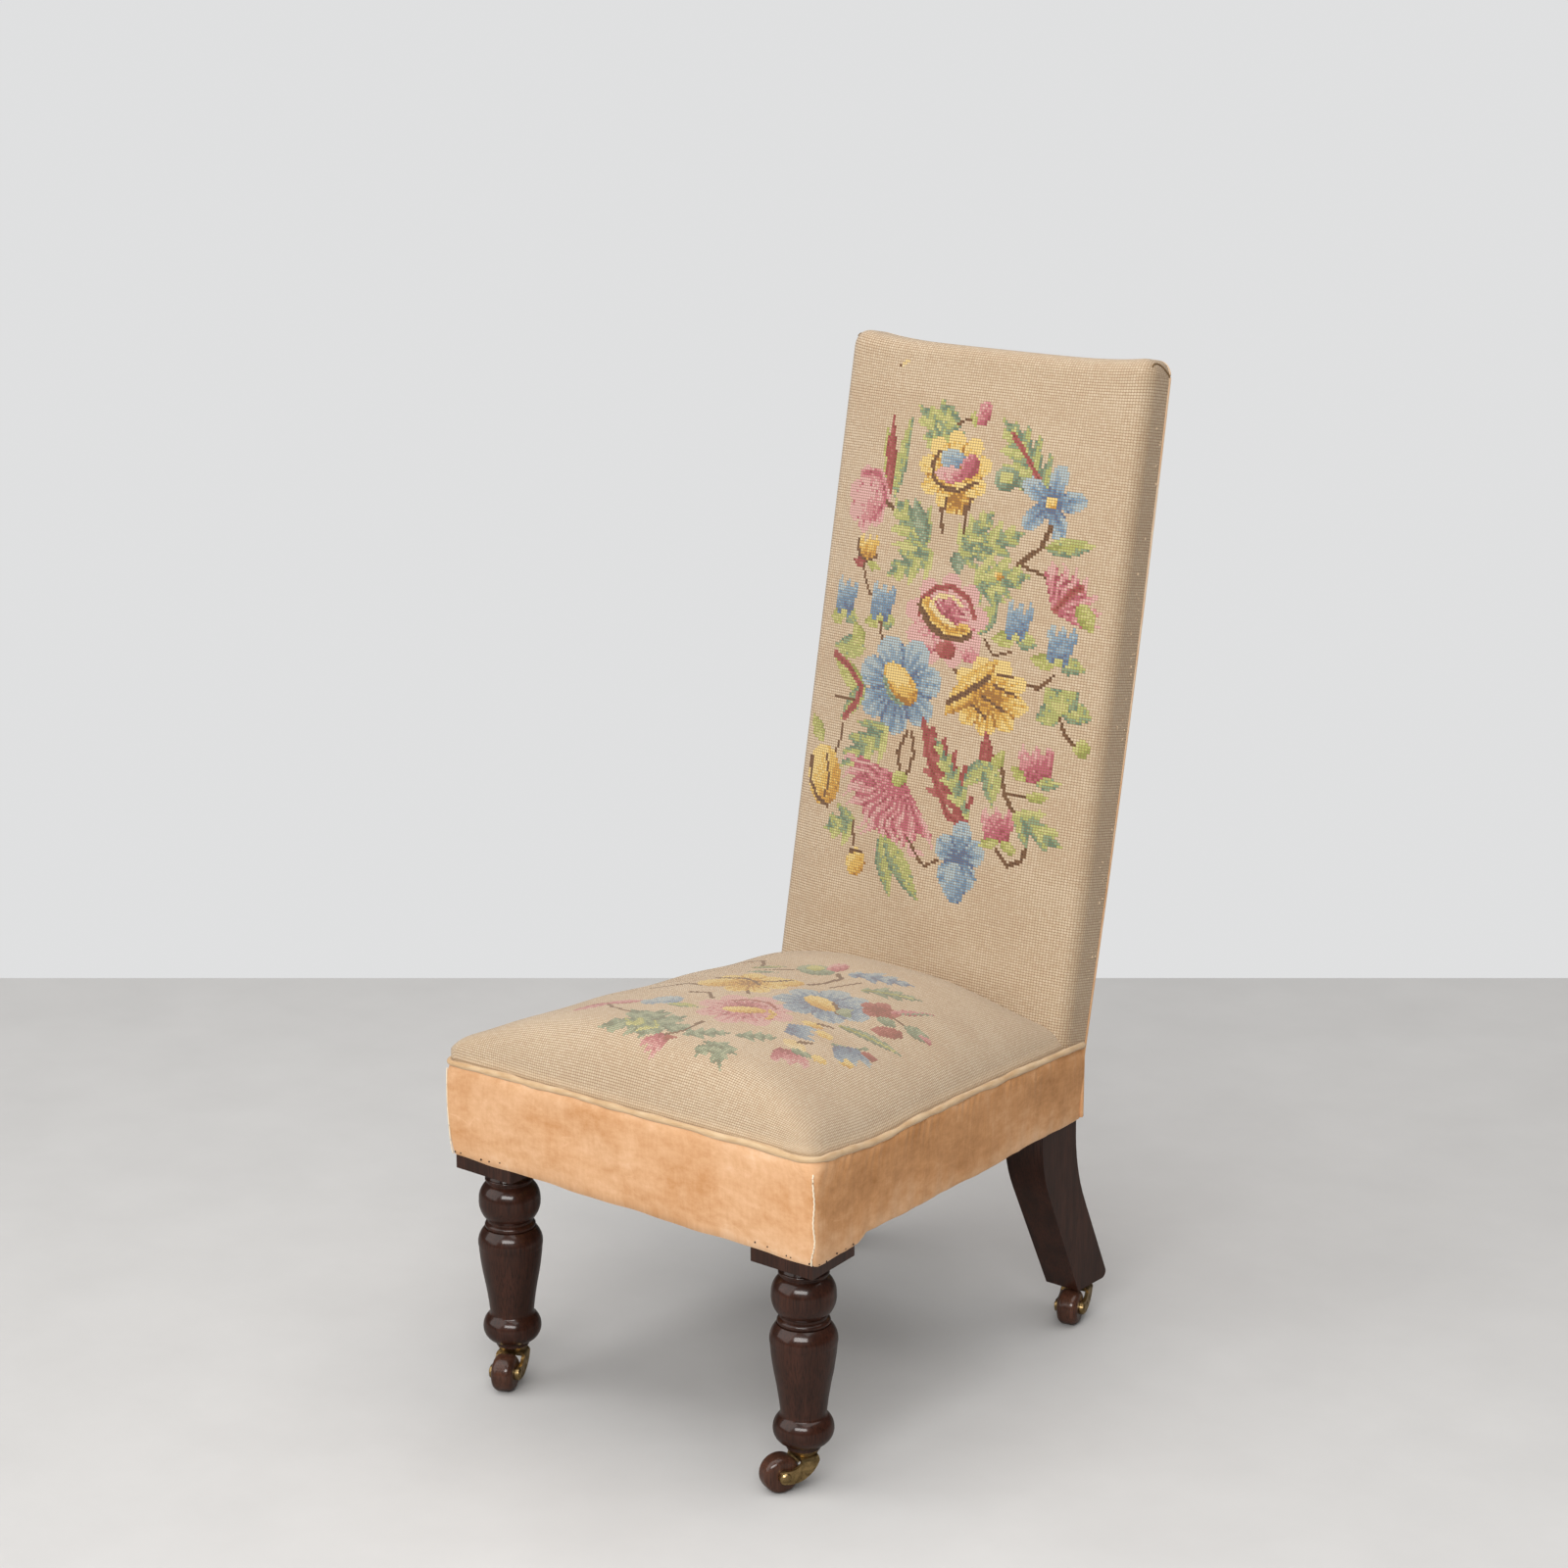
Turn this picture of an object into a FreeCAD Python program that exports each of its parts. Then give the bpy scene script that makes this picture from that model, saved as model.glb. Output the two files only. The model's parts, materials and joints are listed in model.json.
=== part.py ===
import FreeCAD, Part
import math
import os
import re

import Sketcher

# A low upholstered nursing chair on four castors. Millimetres, +Z up, the chair faces -Y, and its
# origin is on the floor in the middle of its box. Every formula below measures Y from the front face
# of the seat, and each piece is shifted into the chair's own frame by its Placement.

Vector = FreeCAD.Vector
Placement = FreeCAD.Placement
Rotation = FreeCAD.Rotation

SIZES = {
    # seat plan
    "seat_front_width": 430.0,
    "seat_rear_width": 351.0,
    "seat_depth": 465.0,
    "seat_corner": 16.0,
    # seat heights: the seam is the welt between the needlework and the velvet border
    "seam_front": 323.0,
    "seam_rear": 297.0,
    "seam_drop": 14.0,
    "rail_bottom_front": 238.0,
    "rail_bottom_rear": 223.0,
    "seat_shoulder_rise": 26.0,
    "seat_shoulder_inset": 16.0,
    "seat_crown_rise": 70.0,
    "seat_crown_inset": 78.0,
    "seat_rear_clearance": 3.0,
    # seat frame
    "rail_thickness": 26.0,
    "brace_thickness": 22.0,
    "brace_margin": 12.0,
    # front legs, turned below a square block
    "leg_block": 66.0,
    "block_drop": 22.5,
    "foot_neck_radius": 15.4,
    "foot_neck_height": 3.5,
    "foot_ball_radius": 27.4,
    "foot_ball_lower": 15.5,
    "foot_ball_upper": 12.5,
    "waist_radius": 20.8,
    "waist_height": 4.0,
    "vase_middle_radius": 25.6,
    "vase_middle_height": 32.0,
    "vase_top_radius": 29.9,
    "vase_top_drop": 12.5,
    "shoulder_radius": 28.6,
    "shoulder_height": 6.5,
    "shoulder_top_radius": 24.2,
    "bead_radius": 22.6,
    "bead_height": 5.0,
    "neck_radius": 21.2,
    "neck_height": 3.0,
    "ball_radius": 28.9,
    "ball_lower": 20.3,
    "ball_upper": 16.7,
    "ring_radius": 21.6,
    "ring_height": 4.5,
    "ring_neck_height": 1.0,
    "collar_radius": 20.6,
    "collar_height": 9.0,
    # rear posts: a sabre leg and a back stile in one piece
    "post_width": 45.0,
    "post_depth": 56.0,
    "post_foot_width": 38.0,
    "foot_round": 6.0,
    "sabre_angle": 25.0,
    "rear_bend_radius": 190.0,
    "rear_bend_drop": 11.0,
    "front_bend_radius": 130.0,
    "front_bend_drop": 14.0,
    "stile_width": 34.0,
    "stile_depth": 24.0,
    "stile_chamfer": 17.0,
    # back, measured along its rake from the bend above the seat
    "rake": 10.5,
    "back_bend_drop": 5.2,
    "back_height": 667.0,
    "back_start": 22.0,
    "back_side_depth": 34.0,
    "back_corner": 18.0,
    "back_crown": 13.0,
    "back_crown_inset": 45.0,
    "top_rail_height": 45.0,
    "lower_rail_height": 45.0,
    "lower_rail_start": 26.0,
    # coverings
    "border_thickness": 3.0,
    "border_hem": 1.5,
    "cover_thickness": 2.0,
    "side_cover_thickness": 4.0,
    "cover_ease": 0.81,
    "outside_thickness": 3.0,
    "seat_piping_radius": 4.2,
    "seat_piping_proud": 1.0,
    "back_piping_radius": 2.3,
    # webbing, hessian, bottom cloth and springs
    "webbing_width": 50.0,
    "webbing_thickness": 1.5,
    "webbing_spacing": 88.0,
    "webbing_landing": 8.0,
    "back_web_spacing": 105.0,
    "hessian_thickness": 1.2,
    "dust_thickness": 1.2,
    "cloth_margin": 4.0,
    "spring_radius": 32.0,
    "spring_wire": 1.8,
    "spring_turns": 4.5,
    # fastenings
    "dowel_radius": 5.0,
    "dowel_length": 50.0,
    "dowel_inset": 18.0,
    "back_dowel_radius": 4.0,
    "screw_radius": 2.2,
    "screw_length": 48.0,
    "screw_head_radius": 4.2,
    "screw_head_height": 2.4,
    "tack_radius": 0.9,
    "tack_length": 11.0,
    "tack_head_radius": 4.0,
    "tack_head_height": 0.9,
    "tack_margin": 11.0,
    # castors: the wheel trails its swivel axis by the trail
    "wheel_radius": 17.5,
    "wheel_width": 20.8,
    "wheel_face_radius": 12.0,
    "wheel_tread": 8.0,
    "trail": 24.0,
    "axle_radius": 3.0,
    "axle_head_radius": 4.6,
    "axle_head_height": 1.2,
    "horn_top": 32.5,
    "horn_plate": 4.0,
    "horn_round": 5.0,
    "horn_back": 9.0,
    "horn_front": 8.5,
    "horn_shank": 4.4,
    "horn_boss": 6.2,
    "arm_thickness": 3.4,
    "arm_gap": 0.4,
    "swivel_gap": 0.2,
    "collar_bottom_radius": 12.5,
    "mount_collar_height": 4.8,
    "pin_radius": 4.0,
    "rivet_radius": 5.6,
    "rivet_height": 1.8,
    "stem_radius": 5.0,
    "stem_length": 28.0,
    "running_fit": 0.05,
    "soft_gap": 0.3,
    "left_front_heading": 64.6,
    "right_front_heading": 114.2,
    "left_rear_heading": 98.0,
    "right_rear_heading": 70.9,
}

# What follows from the sizes: each name stands for its formula wherever another formula uses it.
RELATIONS = {
    "taper": "(seat_front_width - seat_rear_width) / 2 / seat_depth",
    "slant": "sqrt(1 + taper ^ 2)",
    "seam_slope": "(seam_front - seam_rear) / seat_depth",
    "bottom_slope": "(rail_bottom_front - rail_bottom_rear) / seat_depth",
    "leg_y": "border_thickness + leg_block / 2",
    "leg_x": "seat_front_width / 2 - border_thickness * slant - taper * leg_y - leg_block / 2",
    "block_bottom": "rail_bottom_front - block_drop",
    "block_inner": "leg_x - leg_block / 2",
    "block_rear": "border_thickness + leg_block",
    "front_rail_rear": "border_thickness + rail_thickness",
    "post_rear": "seat_depth - outside_thickness",
    "post_front": "post_rear - post_depth",
    "post_outer": "seat_rear_width / 2 - border_thickness * slant - soft_gap",
    "post_inner": "post_outer - post_width",
    "stile_inner": "post_outer - stile_width",
    "rear_rail_front": "post_rear - rail_thickness",
    "stile_foot_y": "post_rear - stile_depth / cos(rake) + (post_top - back_bend) * tan(rake)",
    "post_top": "seam_front - seam_slope * post_rear - seam_drop",
    "back_bend": "post_top - back_bend_drop",
    "rear_bend_height": "rail_bottom_rear - rear_bend_drop",
    "front_bend_height": "rail_bottom_rear - front_bend_drop",
    "rear_bend_y": "post_rear + rear_bend_radius * (1 - cos(sabre_angle))",
    "rear_bend_end": "rear_bend_height - rear_bend_radius * sin(sabre_angle)",
    "front_bend_y": "post_front + front_bend_radius * (1 - cos(sabre_angle))",
    "front_bend_end": "front_bend_height - front_bend_radius * sin(sabre_angle)",
    "foot_rear": "rear_bend_y + (rear_bend_end - leg_bottom) * tan(sabre_angle)",
    "foot_front": "front_bend_y + (front_bend_end - leg_bottom) * tan(sabre_angle)",
    "foot_ease": "foot_round / tan(45 - sabre_angle / 2)",
    "foot_x": "post_outer - post_foot_width / 2",
    "foot_y": "(foot_front + foot_rear) / 2",
    "back_width": "2 * (post_outer + cover_ease + side_cover_thickness)",
    "stile_height": "back_height - side_cover_thickness - soft_gap",
    "front_reach": "trail * sin(right_front_heading) + wheel_radius - leg_y",
    "rear_reach": "post_rear + back_height * sin(rake) + 2 * back_piping_radius * cos(rake)",
    "origin_back": "(rear_reach - front_reach) / 2",
    "panel_half": "back_width / 2 - 2 * back_piping_radius - soft_gap",
    "panel_top": "back_height - 2 * back_piping_radius - soft_gap",
    "panel_corner": "back_corner - 2 * back_piping_radius - soft_gap",
    "pad_front": "stile_depth + 2 * webbing_thickness + hessian_thickness",
    "pad_edge": "back_side_depth - cover_thickness",
    "seat_pad_rear": "post_rear + back_start * sin(rake) - back_side_depth * cos(rake) - seat_rear_clearance",
    "piping_inset": "seat_piping_radius - seat_piping_proud",
    "cover_inset": "2 * seat_piping_radius - seat_piping_proud - cover_thickness",
    "horn_bottom": "horn_top - horn_plate",
    "collar_bottom": "horn_top + swivel_gap",
    "leg_bottom": "collar_bottom + mount_collar_height",
    "arm_inner": "wheel_width / 2 + arm_gap",
    "arm_outer": "arm_inner + arm_thickness",
}

document = FreeCAD.newDocument("NursingChair")
sheet = document.addObject("Spreadsheet::Sheet", "Sizes")
for row, (size_name, size_value) in enumerate(SIZES.items(), start=1):
    sheet.set(f"A{row}", size_name)
    sheet.set(f"B{row}", str(size_value))
    sheet.setAlias(f"B{row}", size_name)
document.recompute()

finished = []


def formula(text):
    """A formula in the names above, written with the cells of the sheet."""
    def cell(match):
        word = match.group(0)
        if word in RELATIONS:
            return "(" + formula(RELATIONS[word]) + ")"
        if word in SIZES:
            return "Sizes." + word
        return word
    return re.sub(r"[a-z_]+", cell, text)


def number(text):
    """The present value of a formula."""
    return float(sheet.evalExpression(formula(text)))


def side_line(y, inset):
    """Half the seat's width at depth y, less an inset square to the slanting side."""
    return f"(seat_front_width / 2 - taper * ({y}) - ({inset}) * slant)"


def rail_outer(y):
    return side_line(y, "border_thickness")


def rail_inner(y):
    return side_line(y, "border_thickness + rail_thickness")


def seam_at(y):
    return f"(seam_front - seam_slope * ({y}))"


def rail_top(y):
    return f"(seam_front - seam_slope * ({y}) - seam_drop)"


def rail_bottom(y):
    return f"(rail_bottom_front - bottom_slope * ({y}))"


def back_y(depth, rise):
    """Y of a point of the raked back: depth behind the stile's rear face, rise along the rake."""
    return f"(post_rear + ({rise}) * sin(rake) + ({depth}) * cos(rake))"


def back_z(depth, rise):
    return f"(back_bend + ({rise}) * cos(rake) - ({depth}) * sin(rake))"


def place(piece, x="0", y="0", z="0", axis=None, angle=None):
    """Stand a piece at (x, y, z), turned by an angle about an axis."""
    if axis is not None:
        piece.Placement = Placement(Vector(), Rotation(axis, 1.0))
        piece.setExpression("Placement.Rotation.Angle", formula(angle))
    piece.setExpression("Placement.Base.x", formula(x))
    piece.setExpression("Placement.Base.y", formula(f"{y} - origin_back"))
    piece.setExpression("Placement.Base.z", formula(z))


def lean_back(piece):
    """Give a piece the raked frame of the back: its Z runs up the stiles, its Y points behind them."""
    place(piece, y="post_rear", z="back_bend", axis=Vector(-1, 0, 0), angle="rake")


def new_body(name):
    body = document.addObject("PartDesign::Body", name)
    return body


def finish(piece, label):
    """Name a finished sub-part, which names its file."""
    piece.Label = label
    finished.append(piece)
    return piece


def attach(body, role, name, lift="0", tilt=None):
    """An empty sketch on an origin plane of the body, lifted along its normal and tilted about X."""
    sketch = body.newObject("Sketcher::SketchObject", name)
    plane = next(item for item in body.Origin.OriginFeatures if item.Role == role)
    sketch.AttachmentSupport = [(plane, "")]
    sketch.MapMode = "FlatFace"
    if tilt is not None:
        sketch.AttachmentOffset = Placement(Vector(), Rotation(Vector(-1, 0, 0), 1.0))
        sketch.setExpression("AttachmentOffset.Rotation.Angle", formula(tilt))
    sketch.setExpression("AttachmentOffset.Base.z", formula(lift))
    return sketch


def bind(sketch, constraint, text):
    index = sketch.addConstraint(constraint)
    sketch.setExpression(f"Constraints[{index}]", formula(text))


def arc_radius(corner, following):
    """The radius of the arc from a corner to the following one."""
    if isinstance(corner[2], str):
        return corner[2]
    across = f"(({following[0]}) - ({corner[0]}))"
    up = f"(({following[1]}) - ({corner[1]}))"
    return f"{corner[2]} * sqrt({across} ^ 2 + {up} ^ 2)"


def draw(sketch, corners, closed=True):
    """Join corners by lines, or by an arc where a corner also gives a radius and the side it bulges to.

    A corner is (across, up) or (across, up, radius, side). The radius is a formula, or a bare number
    for a share of the arc's chord. Side 1 bulges to the right of the way along the outline, -1 to its left.
    """
    spots = [Vector(number(corner[0]), number(corner[1]), 0) for corner in corners]
    spans = len(corners) if closed else len(corners) - 1
    radii = {}
    ends = []
    for index in range(spans):
        start = spots[index]
        stop = spots[(index + 1) % len(spots)]
        if len(corners[index]) == 2:
            sketch.addGeometry(Part.LineSegment(start, stop))
        else:
            radii[index] = arc_radius(corners[index], corners[(index + 1) % len(corners)])
            radius = number(radii[index])
            half = (stop - start) * 0.5
            rise = radius - math.sqrt(max(radius ** 2 - half.Length ** 2, 0.0))
            aside = Vector(half.y, -half.x, 0).normalize() * (rise * corners[index][3])
            sketch.addGeometry(Part.Arc(start, start + half + aside, stop))
        first = 1 if sketch.getPoint(index, 1).distanceToPoint(start) < 1e-6 else 2
        ends.append((first, 3 - first))
    for index in range(spans):
        if closed or index > 0:
            before = (index - 1) % spans
            joint = (before, ends[before][1], index, ends[index][0])
            sketch.addConstraint(Sketcher.Constraint("Coincident", *joint))
    for index, corner in enumerate(corners):
        span = min(index, spans - 1)
        point = ends[span][0] if index < spans else ends[span][1]
        bind(sketch, Sketcher.Constraint("DistanceX", -1, 1, span, point, spots[index].x), corner[0])
        bind(sketch, Sketcher.Constraint("DistanceY", -1, 1, span, point, spots[index].y), corner[1])
    for index, radius in radii.items():
        bind(sketch, Sketcher.Constraint("Radius", index, number(radius)), radius)
    return sketch


def circle(sketch, across, up, radius):
    """One circle on a sketch."""
    middle = Vector(number(across), number(up), 0)
    index = sketch.addGeometry(Part.Circle(middle, Vector(0, 0, 1), number(radius)))
    bind(sketch, Sketcher.Constraint("DistanceX", -1, 1, index, 3, number(across)), across)
    bind(sketch, Sketcher.Constraint("DistanceY", -1, 1, index, 3, number(up)), up)
    bind(sketch, Sketcher.Constraint("Radius", index, number(radius)), radius)
    return sketch


def pad(body, sketch, length, name="Pad"):
    feature = body.newObject("PartDesign::Pad", name)
    feature.Profile = sketch
    feature.setExpression("Length", formula(length))
    return feature


def cut_through(body, sketch, name="Trim"):
    """Cut a sketch through the whole body, both ways."""
    feature = body.newObject("PartDesign::Pocket", name)
    feature.Profile = sketch
    feature.Type = "ThroughAll"
    feature.Midplane = True
    return feature


def turn(body, sketch, kind="PartDesign::Revolution", name="Turning"):
    """Turn a profile, drawn as radius and height, about its vertical axis."""
    feature = body.newObject(kind, name)
    feature.Profile = sketch
    feature.ReferenceAxis = (sketch, ["V_Axis"])
    feature.Angle = 360.0
    return feature


def loft(body, sketches, kind="PartDesign::AdditiveLoft", name="Loft"):
    feature = body.newObject(kind, name)
    feature.Profile = sketches[0]
    feature.Sections = sketches[1:]
    feature.Ruled = True
    return feature


def box(name, corner, size):
    """A block from its least corner and its three sizes, in the frame it is placed in later."""
    body = new_body(name)
    x, y, z = corner
    wide, deep, high = size
    sketch = attach(body, "XY_Plane", name + "_plan", lift=z)
    draw(sketch, [
        (x, y),
        (f"{x} + {wide}", y),
        (f"{x} + {wide}", f"{y} + {deep}"),
        (x, f"{y} + {deep}"),
    ])
    pad(body, sketch, high)
    return body


def prism(name, corners, bottom, height):
    """A block from its outline in plan."""
    body = new_body(name)
    sketch = attach(body, "XY_Plane", name + "_plan", lift=bottom)
    draw(sketch, corners)
    pad(body, sketch, height)
    return body


RODS = {
    "x": Rotation(Vector(0, 1, 0), 90),
    "y": Rotation(Vector(-1, 0, 0), 90),
    "z": Rotation(),
}


def rod(name, radius, length, middle, along):
    """A cylinder along an axis, with its middle at a point."""
    piece = document.addObject("Part::Cylinder", name)
    piece.setExpression("Radius", formula(radius))
    piece.setExpression("Height", formula(length))
    piece.Placement = Placement(Vector(), RODS[along])
    x, y, z = middle
    shift = {axis: f" - ({length}) / 2" if axis == along else "" for axis in "xyz"}
    piece.setExpression("Placement.Base.x", formula(f"{x}{shift['x']}"))
    piece.setExpression("Placement.Base.y", formula(f"{y}{shift['y']} - origin_back"))
    piece.setExpression("Placement.Base.z", formula(f"{z}{shift['z']}"))
    return piece


def group(name, members):
    piece = document.addObject("Part::Compound", name)
    piece.Links = members
    return piece


def bored(body, tools, label):
    """A frame member with the holes of its fastenings cut out of it."""
    piece = document.addObject("Part::Cut", label)
    piece.Base = body
    piece.Tool = tools
    return finish(piece, label)


def mirrored(corners):
    """A closed outline from its right half, listed from the front to the rear."""
    left = [(f"-({corner[0]})", *corner[1:]) for corner in reversed(corners)]
    return corners + left


SIDES = {"left": "-1", "right": "1"}
# how far the outline of a cut reaches past the face that it cuts
OVERCUT = "2"
# turns of a spring in each piece of its line
COIL_SEGMENT = 0.25


# Fastenings first, because the frame is bored for them.

def dowel_spots():
    """Each dowel's radius, middle and direction."""
    spots = []
    for side in SIDES.values():
        front_low = f"{rail_bottom('leg_y')} + dowel_inset"
        front_high = f"{rail_top('leg_y')} - dowel_inset"
        rear_low = f"{rail_bottom('post_front')} + dowel_inset"
        rear_high = f"{rail_top('post_front')} - dowel_inset"
        rail_middle = "border_thickness + rail_thickness / 2"
        side_front = f"({rail_outer('block_rear')} - rail_thickness / 2)"
        side_rear = f"({rail_inner('post_front')} + post_outer) / 2"
        for height in (front_low, front_high):
            spots.append(("dowel_radius", (f"{side} * block_inner", rail_middle, height), "x"))
            spots.append(("dowel_radius", (f"{side} * {side_front}", "block_rear", height), "y"))
        for height in (rear_low, rear_high):
            spots.append(("dowel_radius", (f"{side} * {side_rear}", "post_front", height), "y"))
            rear_middle = "post_rear - rail_thickness / 2"
            spots.append(("dowel_radius", (f"{side} * post_inner", rear_middle, height), "x"))
        for start, height in (
                ("lower_rail_start", "lower_rail_height"),
                ("stile_height - top_rail_height", "top_rail_height")):
            for share in ("0.25", "0.75"):
                rise = f"{start} + {share} * {height}"
                depth = "-stile_depth / 2"
                spots.append(("back_dowel_radius",
                              (f"{side} * stile_inner", back_y(depth, rise), back_z(depth, rise)), "x"))
    return spots


def make_dowels():
    """The dowels, and the slightly larger holes that they stand in."""
    dowels = []
    holes = []
    for index, (radius, middle, along) in enumerate(dowel_spots()):
        dowels.append(rod(f"dowel_{index}", radius, "dowel_length", middle, along))
        holes.append(rod(f"dowel_hole_{index}", f"{radius} + running_fit", "dowel_length + 1", middle, along))
    finish(group("frame_dowels", dowels), "frame_dowels")
    return holes


def diagonal_screw(name, corner, direction, radius_extra="0"):
    """A countersunk screw through a brace into the corner that it crosses, head on the brace's face."""
    middle_z = f"({rail_bottom(corner[1])} + {rail_top(corner[1])}) / 2"
    turned = Rotation(Vector(0, 0, 1), Vector(direction[0], direction[1], 0))
    pieces = []
    for part, radius, length, start in (
            ("shank", "screw_radius", "screw_length", "brace_thickness"),
            ("head", "screw_head_radius", "screw_head_height", "brace_thickness")):
        piece = document.addObject("Part::Cylinder", f"{name}_{part}")
        piece.setExpression("Radius", formula(f"{radius} + {radius_extra}"))
        piece.setExpression("Height", formula(f"{length} + {radius_extra}"))
        piece.Placement = Placement(Vector(), turned)
        back_off = f"({start}) / sqrt(2)"
        piece.setExpression("Placement.Base.x", formula(f"{corner[0]} - ({direction[0]}) * {back_off}"))
        piece.setExpression("Placement.Base.y",
                            formula(f"{corner[1]} - ({direction[1]}) * {back_off} - origin_back"))
        piece.setExpression("Placement.Base.z", formula(middle_z))
        pieces.append(piece)
    whole = document.addObject("Part::MultiFuse", name)
    whole.Shapes = pieces
    return whole


def make_screws():
    screws = []
    holes = []
    for side_name, side in SIDES.items():
        sign = int(side)
        spots = (
            ("front", (f"{side} * block_inner", "block_rear"), (sign, -1)),
            ("rear", (f"{side} * post_inner", "post_front"), (sign, 1)),
        )
        for end, corner, direction in spots:
            screws.append(diagonal_screw(f"screw_{side_name}_{end}", corner, direction))
            holes.append(diagonal_screw(f"screw_hole_{side_name}_{end}", corner, direction, "running_fit"))
    finish(group("brace_screws", screws), "brace_screws")
    return holes


def tack_spots():
    """Where the bottom cloth is tacked: between the webs, on the middle line of each rail."""
    between = "webbing_spacing / 2"
    by_leg = "(block_inner - tack_margin)"
    spots = []
    for x in (f"-{by_leg}", f"-{between}", between, by_leg):
        spots.append((x, "border_thickness + rail_thickness / 2"))
    for x in (f"-{between}", between):
        spots.append((x, "post_rear - rail_thickness / 2"))
    for side in SIDES.values():
        for step in ("-1.5", "-0.5", "0.5", "1.5"):
            y = f"({web_middle()} + {step} * webbing_spacing)"
            spots.append((f"{side} * ({rail_outer(y)} - rail_thickness / 2)", y))
    return spots


def web_middle():
    return "(block_rear + post_front) / 2"


def make_tacks():
    tacks = []
    holes = []
    for index, (x, y) in enumerate(tack_spots()):
        below = f"({rail_bottom(y)} - 2 * webbing_thickness - dust_thickness - tack_head_height)"
        head = rod(f"tack_head_{index}", "tack_head_radius", "tack_head_height",
                   (x, y, f"{below} + tack_head_height / 2 - 0.2"), "z")
        shank = rod(f"tack_shank_{index}", "tack_radius", "tack_length",
                    (x, y, f"{below} + tack_length / 2"), "z")
        tack = document.addObject("Part::MultiFuse", f"tack_{index}")
        tack.Shapes = [head, shank]
        tacks.append(tack)
        holes.append(rod(f"tack_hole_{index}", "tack_radius", "tack_length + 1",
                         (x, y, f"{below} + tack_length / 2"), "z"))
    finish(group("bottom_tacks", tacks), "bottom_tacks")
    return holes


def make_stem_holes():
    holes = []
    for side_name, side in SIDES.items():
        for end, x, y in (("front", "leg_x", "leg_y"), ("rear", "foot_x", "foot_y")):
            holes.append(rod(f"stem_hole_{side_name}_{end}", "stem_radius", "stem_length",
                             (f"{side} * {x}", y, "leg_bottom + stem_length / 2"), "z"))
    return holes


# The wooden frame.

def make_front_leg(side_name, side, holes):
    name = f"{side_name}_front_leg"
    body = new_body(name + "_blank")
    place(body, x=f"{side} * leg_x", y="leg_y")
    half = "leg_block / 2"
    lean = "taper * leg_block / 2"
    block = attach(body, "XY_Plane", name + "_block", lift="block_bottom")
    draw(block, [
        (f"-{side} * {half}", f"-{half}"),
        (f"{side} * ({half} + {lean})", f"-{half}"),
        (f"{side} * ({half} - {lean})", half),
        (f"-{side} * {half}", half),
    ])
    pad(body, block, f"{rail_top('block_rear')} - block_bottom")

    foot_ball_start = "leg_bottom + foot_neck_height"
    foot_ball_middle = f"{foot_ball_start} + foot_ball_lower"
    foot_ball_end = f"{foot_ball_middle} + foot_ball_upper"
    waist = f"{foot_ball_end} + waist_height"
    ring_top = "block_bottom - collar_height"
    ring_bottom = f"{ring_top} - ring_height"
    ball_top = f"{ring_bottom} - ring_neck_height"
    ball_middle = f"{ball_top} - ball_upper"
    ball_bottom = f"{ball_middle} - ball_lower"
    bead_top = f"{ball_bottom} - neck_height"
    bead_bottom = f"{bead_top} - bead_height"
    shoulder = f"{bead_bottom} - shoulder_height"
    vase_top = f"{shoulder} - vase_top_drop"
    profile = attach(body, "XZ_Plane", name + "_profile")
    draw(profile, [
        ("0", "leg_bottom"),
        ("foot_neck_radius", "leg_bottom"),
        ("foot_neck_radius", foot_ball_start, 0.80, 1),
        ("foot_ball_radius", foot_ball_middle, 1.2, 1),
        ("waist_radius + 0.8", foot_ball_end, 1.2, -1),
        ("waist_radius", waist, 10, -1),
        ("vase_middle_radius", f"{waist} + vase_middle_height", 8, 1),
        ("vase_top_radius", vase_top, 1.5, 1),
        ("shoulder_radius", shoulder, 3.0, 1),
        ("shoulder_top_radius", bead_bottom),
        ("bead_radius", bead_bottom, 0.6, 1),
        ("bead_radius", bead_top),
        ("neck_radius", f"{bead_top} + neck_height / 3"),
        ("neck_radius", ball_bottom, 1.13, 1),
        ("ball_radius", ball_middle, 1.13, 1),
        ("neck_radius", ball_top),
        ("neck_radius", ring_bottom),
        ("ring_radius", ring_bottom, 0.6, 1),
        ("ring_radius", ring_top),
        ("collar_radius", f"{ring_top} + collar_height / 4"),
        ("collar_radius", "block_bottom + ring_height"),
        ("0", "block_bottom + ring_height"),
    ])
    turn(body, profile)
    bored(body, holes, name)


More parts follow.
